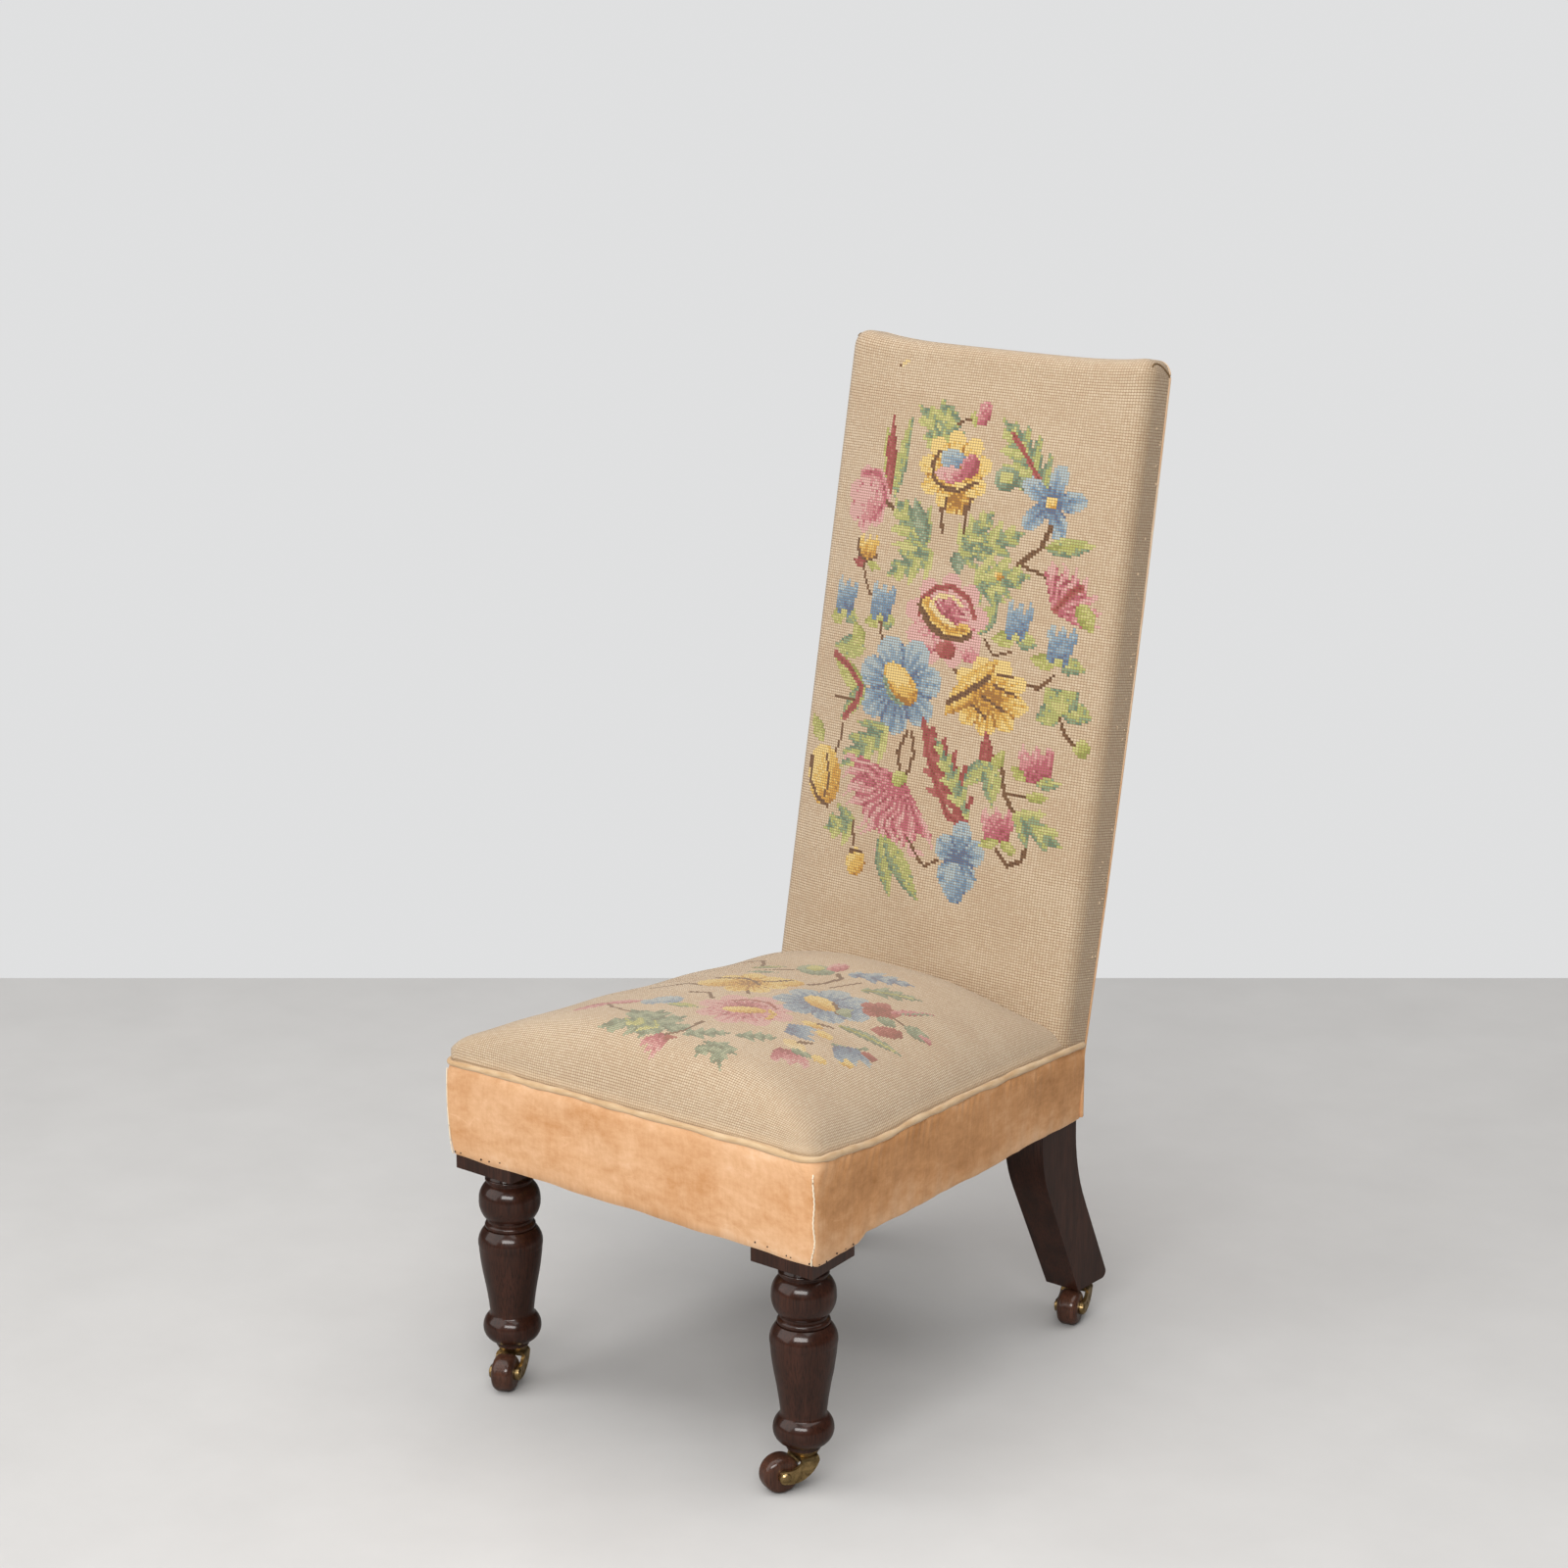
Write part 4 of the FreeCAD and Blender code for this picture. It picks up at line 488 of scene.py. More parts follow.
def sew_seat_flowers(canvas):
    """The spray on the seat, from its front to its rear: x across and y back from the front edge."""
    leaf, stem, spot = canvas.leaf, canvas.stem, canvas.spot
    flower, bell = canvas.flower, canvas.bell
    # Rose leaves at the left.
    leaf((-92, 90), (-114, 58), 15, "rose")
    leaf((-96, 84), (-66, 112), 13, "rose")
    stem([(-90, 84), (-80, 77), (-50, 72)])
    # The front: sage leaves and a rose bell.
    for tip in ((-60, 80), (-4, 92), (-60, 34), (28, 64), (-10, 34), (-36, 96)):
        leaf((-18, 60), tip, 27, "sage", lobes=2)
    leaf((-6, 54), (-48, 56), 20, lobes=2)
    stem([(2, 38), (20, 60), (18, 88)], 4)
    bell((7, 34), 27, 24, "rose", 155)
    leaf((9, 42), (23, 47), 8, "ruby")
    leaf((24, 54), (58, 82), 19, "sage", lobes=4)
    leaf((62, 80), (90, 108), 17, "sage", lobes=4)
    for tip in ((55, 30), (88, 28), (90, 50), (70, 38)):
        leaf((60, 57), tip, 15, "sage", lobes=2)
    # A blue bud and stems at the left.
    spot((-52, 121), 15, 12, "blue", 40, -0.3)
    spot((-62, 108), 9, 8, "blue", dark=-0.3)
    leaf((-44, 112), (-12, 120), 12)
    stem([(-98, 152), (-88, 162), (-76, 176), (-57, 178)], 4)
    stem([(-50, 152), (-34, 161), (-22, 149)], 4)
    # The gold flower.
    flower((-30, 214), 36, 7, "gold", 20, dark=-0.1)
    spot((-52, 194), 20, 15, "gold", 40, -0.1)
    spot((-8, 240), 17, 14, "gold", 40, -0.2)
    stem([(-66, 208), (-44, 223), (-30, 220), (-20, 214)], 4)
    stem([(-24, 226), (-17, 233), (-10, 250)], 4)
    # The large rose.
    flower((24, 142), 48, 8, "rose", 10, 0.94, dark=-0.2)
    flower((20, 148), 30, 7, "rose", 30, 0.9, dark=0.05)
    stem([(-2, 156), (6, 168), (26, 172), (44, 162)], 4, "ruby")
    spot((24, 140), 20, 10, "gold", 28, -0.1)
    stem([(42, 154), (52, 148), (56, 134)], 5, "gold")
    stem([(-14, 190), (-8, 184)], 4)
    # The large blue flower.
    flower((57, 214), 48, 7, "blue", 5, 0.94, cut=0.3)
    spot((54, 213), 22, 12, "gold", -22, -0.1)
    stem([(62, 222), (74, 214), (80, 204)], 4)
    spot((84, 214), 9, 10, "sage", dark=-0.2)
    leaf((86, 236), (98, 206), 14, "blue")
    # The rear: stems, buds and long leaves.
    stem([(-118, 280), (-100, 294), (-82, 297), (-70, 282), (-64, 272)], 4)
    leaf((-60, 246), (-36, 264), 9, "sage")
    leaf((-70, 262), (-44, 288), 10, "sage", "lime")
    stem([(-52, 262), (-30, 288)])
    spot((-18, 297), 20, 15, "sage", dark=-0.15)
    spot((-22, 302), 9, 8, "lime", dark=-0.2)
    spot((-6, 316), 10, 13, "rose", 20)
    stem([(10, 252), (17, 268), (18, 290), (6, 300)], 5)
    leaf((14, 306), (78, 330), 26, "blue", lobes=4)
    stem([(30, 259), (41, 291)])
    leaf((54, 272), (102, 307), 24, "sage", "lime", lobes=4)
    # The ruby flower and leaves at the right.
    flower((98, 246), 19, 5, "ruby", 40)
    spot((126, 220), 15, 9, "ruby", 60)
    spot((114, 234), 9, 8, "sage")
    leaf((104, 250), (124, 294), 10, "rose")
    stem([(112, 262), (123, 290)], 3, "sage")
    stem([(114, 245), (128, 247)])
    leaf((126, 246), (154, 252), 19, "sage")
    spot((147, 250), 6, 4, "rose")
    leaf((96, 184), (158, 206), 14, "sage", "lime")
    # Bells and small buds at the right front.
    bell((92, 138), 34, 28, "blue", -60)
    spot((86, 160), 10, 6, "gold", 20, -0.3)
    spot((106, 154), 9, 6, "gold", dark=-0.3)
    stem([(88, 168), (98, 174)], 4)
    spot((106, 110), 12, 8, "cream")
    stem([(104, 118), (112, 127)], 4)
    bell((118, 88), 38, 28, "rose", -140)
    leaf((108, 100), (130, 108), 10, "sage")
    spot((132, 112), 7, 6, "gold", dark=-0.3)
    spot((145, 134), 8, 6, "gold", dark=-0.3)
    stem([(120, 147), (134, 160), (137, 176)], 4, "sage")
    bell((139, 148), 38, 28, "blue", -120)
    spot((146, 167), 7, 6, "ruby")


# Shader building blocks.

class Signal:
    """A value, a colour or a place in a tree of shader nodes; arithmetic on it adds Math nodes."""

    def __init__(self, socket):
        self.socket = socket
        self.tree = socket.id_data

    def calc(self, operation, other=0.0):
        """One Math node on this and another value."""
        return add(self.tree, "Math", {0: self, 1: other}, operation=operation)

    def __add__(self, other):
        return self.calc("ADD", other)

    def __sub__(self, other):
        return self.calc("SUBTRACT", other)

    def __rsub__(self, other):
        return add(self.tree, "Math", {0: other, 1: self}, operation="SUBTRACT")

    def __mul__(self, other):
        return self.calc("MULTIPLY", other)

    def spread(self, low, high, first=0.0, last=1.0):
        """This value between low and high, spread over first to last and held there."""
        limits = {"Value": self, "From Min": low, "From Max": high, "To Min": first, "To Max": last}
        return add(self.tree, "MapRange", limits)

    def noise(self, scale, detail=3.0, rough=0.55):
        """Clouds of noise at this place, scaled evenly by one number or stretched by three."""
        place = self
        if isinstance(scale, tuple):
            place, scale = add(self.tree, "Mapping", {"Vector": self, "Scale": scale}), 1.0
        inputs = {"Vector": place, "Scale": scale, "Detail": detail, "Roughness": rough}
        return add(self.tree, "TexNoise", inputs, "Fac")

    def blend(self, first, second, kind="MIX"):
        """Two colours mixed, this value being the share of the second."""
        pair = [colour if isinstance(colour, Signal) else (*colour, 1.0) for colour in (first, second)]
        inputs = {0: self, 6: pair[0], 7: pair[1]}
        return add(self.tree, "Mix", inputs, 2, data_type="RGBA", blend_type=kind)

    def siblings(self):
        """Every output of the node this comes from."""
        return [Signal(output) for output in self.socket.node.outputs]


def fill(made, inputs):
    """Fills a node's sockets with plain values, or links signals to them."""
    for label, value in inputs.items():
        if isinstance(value, Signal):
            made.id_data.links.new(value.socket, made.inputs[label])
        else:
            made.inputs[label].default_value = value


def add(tree, kind, inputs=None, out=0, **settings):
    """A new shader node with its settings and inputs: the signal from one of its outputs."""
    made = tree.nodes.new("ShaderNode" + kind)
    for label, value in settings.items():
        setattr(made, label, value)
    fill(made, inputs or {})
    return Signal(made.outputs[out])


def group(name, inputs, outputs):
    """An empty shader group: the signals of its named inputs, and its output node.

    An input with a starting value is a number, one without is a place.
    """
    tree = bpy.data.node_groups.new(name, "ShaderNodeTree")
    for label, value in inputs.items():
        kind = "NodeSocketVector" if value is None else "NodeSocketFloat"
        socket = tree.interface.new_socket(label, in_out="INPUT", socket_type=kind)
        if value is not None:
            socket.default_value = value
    for label in outputs:
        tree.interface.new_socket(label, in_out="OUTPUT", socket_type="NodeSocketFloat")
    given = tree.nodes.new("NodeGroupInput")
    return [Signal(given.outputs[label]) for label in inputs], tree.nodes.new("NodeGroupOutput")


def make_stitch_group():
    """Slanted stitches: a pillow of sines in each cell of the canvas, with a gap round it."""
    (canvas,), put = group("slanted stitches", {"Canvas": None}, ("Gap", "Height"))
    column, row, _ = add(put.id_data, "SeparateXYZ", {0: canvas}).siblings()
    up = row.calc("FRACT")
    slant = 0.3
    right = (column + (up - 0.5) * slant).calc("FRACT")
    across = (right * math.pi).calc("SINE")
    along = (up * math.pi).calc("SINE")
    pillow = (across * along).calc("MAXIMUM", 0.0)
    between_rows = along.spread(0.10, 0.74, 1.0, 0.0)
    between_columns = across.spread(0.06, 0.66, 0.85, 0.0)
    line = between_rows.calc("MAXIMUM", between_columns)
    hole = between_rows * between_columns
    fill(put, {"Height": pillow.calc("POWER", 0.6), "Gap": line * 0.72 + hole})
    return put.id_data


def make_nap_group():
    """Brushed pile: fine streaks down the cloth, pale worn patches, winding scratches and a fine grain."""
    (cloth,), put = group("brushed pile", {"Cloth": None}, ("Streak", "Patch", "Scratch", "Fine"))
    streak = cloth.noise((260.0, 42.0, 1.0), 6.0, 0.65)
    broad = cloth.noise((10.0, 17.0, 1.0), 3.0, 0.5)
    mottle = cloth.noise((44.0, 70.0, 1.0), 8.0, 0.72)
    patch = broad * 0.45 + mottle * 0.55
    bend = cloth.noise((26.0, 40.0, 1.0), 2.0, 0.4)
    off_line = (bend - 0.5).calc("ABSOLUTE")
    where = cloth.noise((21.0, 33.0, 1.0), 1.0).spread(0.52, 0.66)
    fill(put, {"Streak": streak.spread(0.25, 0.75), "Patch": patch.spread(0.30, 0.70),
               "Scratch": off_line.spread(0.0, 0.016, 1.0, 0.0) * where,
               "Fine": cloth.noise((900.0, 900.0, 1.0), 2.0)})
    return put.id_data


def make_grain_group():
    """Wood grain along the height: long streaks and small pores."""
    (place,), put = group("wood grain", {"Place": None}, ("Figure", "Pores"))
    figure = place.noise((90.0, 90.0, 7.0), 5.0, 0.6)
    pores = place.noise((900.0, 900.0, 40.0), 2.0)
    fill(put, {"Figure": figure.spread(0.32, 0.68), "Pores": pores.spread(0.45, 0.75)})
    return put.id_data


def make_weave_group():
    """Plain weave: threads crossing over and under, as two waves at right angles."""
    (place, threads), put = group("plain weave", {"Place": None, "Threads": 500.0}, ("Thread", "Slub"))
    x, y, z = add(put.id_data, "SeparateXYZ", {0: place}).siblings()
    turn = threads * math.pi
    crossed = (x * turn).calc("SINE") * ((y + z) * turn).calc("SINE")
    fill(put, {"Thread": crossed.spread(-1.0, 1.0), "Slub": place.noise((60.0, 240.0, 240.0))})
    return put.id_data


STITCHES = make_stitch_group()
NAP = make_nap_group()
GRAIN = make_grain_group()
WEAVE = make_weave_group()


def new_finish(name, **sockets):
    """A material with its Principled shader's plain sockets set."""
    finish = bpy.data.materials.new(name)
    finish.use_nodes = True
    shader = finish.node_tree.nodes["Principled BSDF"]
    fill(shader, {label.replace("_", " ").title().replace("Ior", "IOR"): value
                  for label, value in sockets.items()})
    return finish, finish.node_tree, shader


def in_space(tree):
    """The place of each point in its object's own space."""
    return add(tree, "TexCoord", out="Object")


def on_cloth(tree):
    """The place of each point on its flat cloth."""
    return add(tree, "UVMap", uv_map="fit")


def stored(tree, name, out="Fac"):
    """What lay_grid stored on the mesh under a name."""
    return add(tree, "Attribute", out=out, attribute_name=name)


def raise_surface(shader, height, strength, distance):
    """Shades the surface as if raised by a height times a distance in metres."""
    inputs = {"Height": height, "Strength": strength, "Distance": distance}
    fill(shader, {"Normal": add(shader.id_data, "Bump", inputs)})


def make_needlework(name):
    """Needlework: the stitches' wool, slightly soiled, paler where worn and dark between the stitches."""
    finish, tree, shader = new_finish(name, roughness=0.95, sheen_weight=0.18, sheen_roughness=0.6,
                                      specular_ior_level=0.15)
    gap, pillow = add(tree, "Group", {"Canvas": on_cloth(tree)}, node_tree=STITCHES).siblings()
    place = in_space(tree)
    darkening = place.noise(6.0, 4.0).spread(0.35, 0.7, 0.0, 0.08)
    soiled = darkening.blend(stored(tree, "wool", "Color"), (0.62, 0.52, 0.42), "MULTIPLY")
    wear_and_painted_light = stored(tree, "wear_and_painted_light")
    worn = wear_and_painted_light.blend(soiled, dye("dcc09c"))
    dark = gap * 0.85 * (1.0 - wear_and_painted_light)
    fill(shader, {"Base Color": dark.blend(worn, dye("7e5d3d"))})
    fibre = place.noise(1400.0, 2.0)
    raise_surface(shader, pillow + fibre * 0.25, 0.55, 0.0008)
    return finish


def make_velvet(name, patchiness):
    """Velvet: strong colour where the pile is sound, pale where it is worn and where light is painted on,
    streaked by brushing.
    """
    finish, tree, shader = new_finish(name, roughness=0.85, sheen_weight=0.35, sheen_roughness=0.35,
                                      specular_ior_level=0.2, sheen_tint=(1.0, 0.80, 0.58, 1.0))
    nap = add(tree, "Group", {"Cloth": on_cloth(tree)}, node_tree=NAP)
    streak, patch, scratch, fine = nap.siblings()
    wear_and_painted_light = stored(tree, "wear_and_painted_light")
    brushed = (streak - 0.5) * (1.15 - wear_and_painted_light) * 0.17
    pale = wear_and_painted_light + (brushed + (patch - 0.5) * patchiness) + scratch * 0.09
    ramp = add(tree, "ValToRGB", {"Fac": pale})
    stops = ramp.socket.node.color_ramp.elements
    stops[0].color, stops[1].color = (*dye("986639"), 1.0), (*dye("ecd2b3"), 1.0)
    for position, code in ((0.35, "c69060"), (0.65, "deb188")):
        stops.new(position).color = (*dye(code), 1.0)
    fill(shader, {"Base Color": ramp})
    raise_surface(shader, streak + fine, 0.12, 0.0005)
    return finish


def make_welt_cloth(name):
    """Welt cloth: a fine weave in two tones that change along its length."""
    finish, tree, shader = new_finish(name, roughness=0.9, sheen_weight=0.2, specular_ior_level=0.15)
    cloth = on_cloth(tree)
    thread = add(tree, "Group", {"Place": cloth, "Threads": 900.0}, "Thread", node_tree=WEAVE)
    tone = cloth.noise((45.0, 120.0, 1.0), 5.0).spread(0.34, 0.66)
    fill(shader, {"Base Color": tone.blend(dye("bd9a72"), dye("d1b692"))})
    raise_surface(shader, thread, 0.3, 0.0004)
    return finish


def make_wood(name, dark, light, gloss, coat):
    """Wood: a dark and a light tone following the grain, with polish over it."""
    finish, tree, shader = new_finish(name, coat_weight=coat, coat_roughness=0.12, specular_ior_level=0.18)
    place = in_space(tree)
    figure, pores = add(tree, "Group", {"Place": place}, node_tree=GRAIN).siblings()
    tone = figure.blend(dye(dark), dye(light))
    rough = place.noise(45.0, 4.0).spread(0.3, 0.7, gloss - 0.06, gloss + 0.08)
    fill(shader, {"Base Color": pores.blend(tone, 0.6 * dye(dark)), "Roughness": rough})
    raise_surface(shader, pores, 0.015, 0.0001)
    return finish


def make_metal(name, clean, stained, clouds, limits, gloss, dents):
    """Old metal: clean and stained in clouds, rougher where it is stained, with small dents."""
    finish, tree, shader = new_finish(name, metallic=1.0)
    place = in_space(tree)
    stain = place.noise(*clouds).spread(*limits)
    fill(shader, {"Base Color": stain.blend(dye(clean), dye(stained)),
                  "Roughness": stain.spread(0.0, 1.0, *gloss)})
    if dents:
        raise_surface(shader, place.noise(500.0), dents, 0.0004)
    return finish


def make_cloth(name, dark, light, threads):
    """Plain woven cloth, such as webbing, hessian or bottom cloth."""
    finish, tree, shader = new_finish(name, roughness=0.95, specular_ior_level=0.1)
    inputs = {"Place": in_space(tree), "Threads": threads}
    thread, slub = add(tree, "Group", inputs, node_tree=WEAVE).siblings()
    tone = (thread + slub) * 0.5
    fill(shader, {"Base Color": tone.blend(dye(dark), dye(light))})
    raise_surface(shader, thread, 0.35, 0.0005)
    return finish


def make_thread(name, dark, light):
    """Sewing thread in two tones."""
    finish, tree, shader = new_finish(name, roughness=0.8)
    tone = in_space(tree).noise(300.0, 2.0)
    fill(shader, {"Base Color": tone.blend(dye(dark), dye(light))})
    return finish


FINISHES = {
    "needlework": make_needlework("needlework wool"),
    "velvet": make_velvet("apricot velvet", patchiness=0.54),
    "outside_velvet": make_velvet("outside velvet", patchiness=0.28),
    "welt_cloth": make_welt_cloth("welt cloth"),
    "polished_wood": make_wood("polished mahogany", "2a160e", "422419", gloss=0.34, coat=0.65),
    "frame_wood": make_wood("plain beech", "a67f55", "c9a678", gloss=0.7, coat=0.0),
    "wheel_wood": make_wood("castor wheel wood", "3c251b", "5c3a2c", gloss=0.32, coat=0.65),
    "brass": make_metal("old brass", "d2b47e", "745f3f", clouds=(130.0, 5.0, 0.65), limits=(0.38, 0.66),
                        gloss=(0.28, 0.55), dents=0.08),
    "steel": make_metal("old steel", "8f8d88", "6b4c38", clouds=(160.0, 5.0), limits=(0.45, 0.7),
                        gloss=(0.35, 0.7), dents=0.0),
    "iron": new_finish("blackened iron", base_color=(*dye("2e2521"), 1.0), metallic=0.6, roughness=0.5)[0],
    # Painted shade: the dark brown cloth of the tube over each corner pleat stands for the shade in the
    # fold's crease.
    "pleat": make_cloth("painted pleat crease shade", "5f4a33", "8a6e4c", threads=900.0),
    "jute": make_cloth("jute", "86683f", "b5935f", threads=700.0),
    "stuffing": make_cloth("stuffing calico", "b9ad97", "dacfba", threads=1500.0),
    "bottom_cloth": make_cloth("bottom cloth", "26221f", "3d3833", threads=1100.0),
    "corner_thread": make_thread("corner thread", "e2cfae", "f6ecd8"),
}


# The seat's lines.

def side_line(y, inset=0.0):
    """Half the seat's width at y, inset from its outline."""
    return SEAT_HALF - inset * SEAT_SLANT - SEAT_TAPER * y


def seam_height(x, y):
    """The seam falls backwards, dips in a bell curve behind each front corner and tilts up to the right."""
    depth, middle, width = 4.6, 108.0, 55.0
    dip = depth * np.exp(-((y - middle) / width) ** 2) * (np.abs(x) / SEAT_HALF) ** 2
    height, reach = 2.6, 34.0
    tilt = height * (x / SEAT_HALF) * np.exp(-y / reach)
    return SEAM_FRONT - SEAM_SLOPE * y - dip + tilt


def fuller_left(x, y):
    """The seat is stuffed a little fuller on the left: x there grows by a share towards the front."""
    share, reach = 0.014, 300.0
    return np.where(x < 0, x * (1 + share * np.clip(1 - y / reach, 0, 1)), x)


def corner_middle(inset, corner):
    """How far across the middle of a round front corner lies."""
    return side_line(inset, inset) - corner * (SEAT_SLANT + SEAT_TAPER)


def half_path(inset, corner, rear, front, bend, side):
    """Half the seat's outline in plan, from the middle of the front to the rear: x and y.

    Half the front, an arc round the corner and a straight side. inset and corner may differ between rows.
    """
    inset = np.asarray(inset, float)
    corner = np.asarray(corner, float)
    turn_x = corner_middle(inset, corner)
    share = np.linspace(0, 1, front // 2 + 1)[:-1]
    arc = np.linspace(-math.pi / 2, math.atan(SEAT_TAPER), bend)
    run = np.linspace(0, 1, side)[1:]
    last_x = turn_x + corner / SEAT_SLANT
    last_y = inset + corner + corner * SEAT_TAPER / SEAT_SLANT
    x = np.concatenate([turn_x * share, turn_x + corner * np.cos(arc),
                        last_x + (side_line(rear, inset) - last_x) * run], axis=-1)
    y = np.concatenate([inset + 0 * turn_x * share, inset + corner + corner * np.sin(arc),
                        last_y + (rear - last_y) * run], axis=-1)
    return x, y


def seat_path(inset, left_corner, right_corner, rear, front=61, bend=13, side=97):
    """The seat's outline in plan from its left rear end round the front to its right: x and y."""
    left_x, left_y = half_path(inset, left_corner, rear, front, bend, side)
    right_x, right_y = half_path(inset, right_corner, rear, front, bend, side)
    x = np.concatenate([-left_x[..., :0:-1], right_x], axis=-1)
    y = np.concatenate([left_y[..., :0:-1], right_y], axis=-1)
    return fuller_left(x, y), y


def push_corner(x, y, way):
    """Points pushed out at the left front corner along its diagonal, less by a bell curve away from it."""
    corner_x, corner_y, reach = -212.0, 4.0, 30.0
    near = np.exp(-((x - corner_x) ** 2 + (y - corner_y) ** 2) / reach ** 2)
    out_x, out_y = 0.78, 0.63
    return x - out_x * way * near, y - out_y * way * near


def half_at(y, inset, corner):
    """Half the seat's width at y where the front corners are round."""
    turn_x = corner_middle(inset, corner)
    turn_y = inset + corner
    inside = np.sqrt(np.clip(corner ** 2 - (turn_y - y) ** 2, 0, None))
    last_y = turn_y + corner * SEAT_TAPER / SEAT_SLANT
    return np.where(y < last_y, turn_x + inside, side_line(y, inset))


def seat_height(x, y):
    """The seat's top: a rolled edge and a dome, each one minus an exponential of the way in from the welt.

    The way in blends those from the side and the front, so that no crease runs in from the corners. The
    dome falls off by powers of the way to the sides and to the front and rear.
    """
    from_side = (side_line(y, COVER_INSET) - np.abs(x)) / SEAT_SLANT
    from_front = y - COVER_INSET
    least, most, growth = np.where(x < 0, 9.0, 19.0), 60.0, 0.17
    reach = np.clip(least + growth * (from_side + from_front), least, most)
    share = np.clip(0.5 + 0.5 * (from_side - from_front) / reach, 0, 1)
    edge = from_side + (from_front - from_side) * share - reach * share * (1 - share)
    edge = np.clip(edge, 0, None)
    flat_along, flat_across = 7.6, 2.7
    along = 1 - np.clip(np.abs(y - DOME_MIDDLE) / DOME_REACH, 0, 1) ** flat_along
    across = 1 - np.clip(np.abs(x) / side_line(y, COVER_INSET), 0, 1) ** flat_across
    dome = DOME_HEIGHT * along * across * (1 - np.exp(-edge / DOME_EDGE))
    roll_reach = np.interp(x, [-200.0, -110.0], [3.0, 9.0])
    tucked = 0.8
    return seam_height(x, y) - tucked + ROLL_HEIGHT * (1 - np.exp(-edge / roll_reach)) + dome


def even_steps(across, height, step):
    """Places an even step apart along a line of heights."""
    length = length_along(across, height)
    return np.interp(np.arange(0, length[-1], step), length, across)


def make_seat_needlework():
    """The seat: rows and columns of stitches evenly spaced along its two middle lines.

    Columns keep their share of the seat's width, so they draw in with its sides.
    """
    rear, measured = 446.0, 150.0
    y = np.linspace(COVER_INSET + 0.1, rear, 4000)
    y = even_steps(y, seat_height(0 * y, y), SEAT_STITCH)
    x = np.linspace(0, side_line(measured, COVER_INSET), 3000)
    share = even_steps(x, seat_height(x, measured + 0 * x), SEAT_STITCH) / x[-1]
    share = np.append(share, 1.0)
    share, y = np.meshgrid(np.concatenate([-share[:0:-1], share]), y)
    half = np.where(share < 0, half_at(y, COVER_INSET, SEAT_CORNER["left"]),
                    half_at(y, COVER_INSET, SEAT_CORNER["right"]))
    x = share * half
    z = seat_height(x, y)
    above = z - seam_height(x, y)
    uneven = 0.8 * lumps(x, y, 110.0)
    on_top = np.clip(above / 40.0 - 0.3, 0, 1)
    z = z + uneven * on_top
    bulge = np.interp(above, [-1.0, 2.0, 12.0, 22.0, 34.0], [2.5, 4.5, 8.0, 4.0, 0.0])
    shown_x, shown_y = push_corner(fuller_left(x, y), y, bulge)
    points = together(shown_x, shown_y, z)
    canvas = Canvas(middles(x), middles(y), dull=0.26)
    sew_seat_flowers(canvas)
    # Painted shade: the stitches a few millimetres above the seam, down in the crease beside the welt, are
    # darkened.
    shaded_below, fade = 4.4, 2.2
    darkening = np.clip((shaded_below - middles(above)) / fade, 0, 1)[..., None]
    canvas.colour = canvas.colour * (1 - darkening * SEAT_CREASE_SHADE)
    worn_at, worn_reach = 5.0, 12.0
    wear_and_painted_light = np.clip(0.45 - np.abs(above - worn_at) / worn_reach, 0, 0.25)
    piece = lay_grid("seat_needlework", points, "needlework", ["seat_cover", "seat_stuffing"],
                     fit=count_stitches(points), stitches=canvas.colour, wear_and_painted_light=wear_and_painted_light)


# The back's lines.

def back_bow(rise):
    """How far the back swells behind its stiles: half a sine wave up the back."""
    return BACK_BOW * np.sin(math.pi * np.clip(rise / BACK_TOP, 0, 1))


def back_ears(x, rise):
    """How far the top corners stand above the top edge's middle: a steep power across, a square upwards."""
    low, reach, steep = 560.0, 100.0, 4.5
    climb = np.clip((rise - low) / reach, 0, 1)
    return EAR_HEIGHT * np.clip(np.abs(x) / BACK_HALF, 0, 1) ** steep * climb ** 2


def on_back(x, rise, depth):
    """A point of the back, raked: forward by depth, up by rise."""
    y = POST_REAR + rise * math.sin(RAKE) - depth * math.cos(RAKE)
    z = BACK_BEND + rise * math.cos(RAKE) + depth * math.sin(RAKE)
    return together(x, y, z)


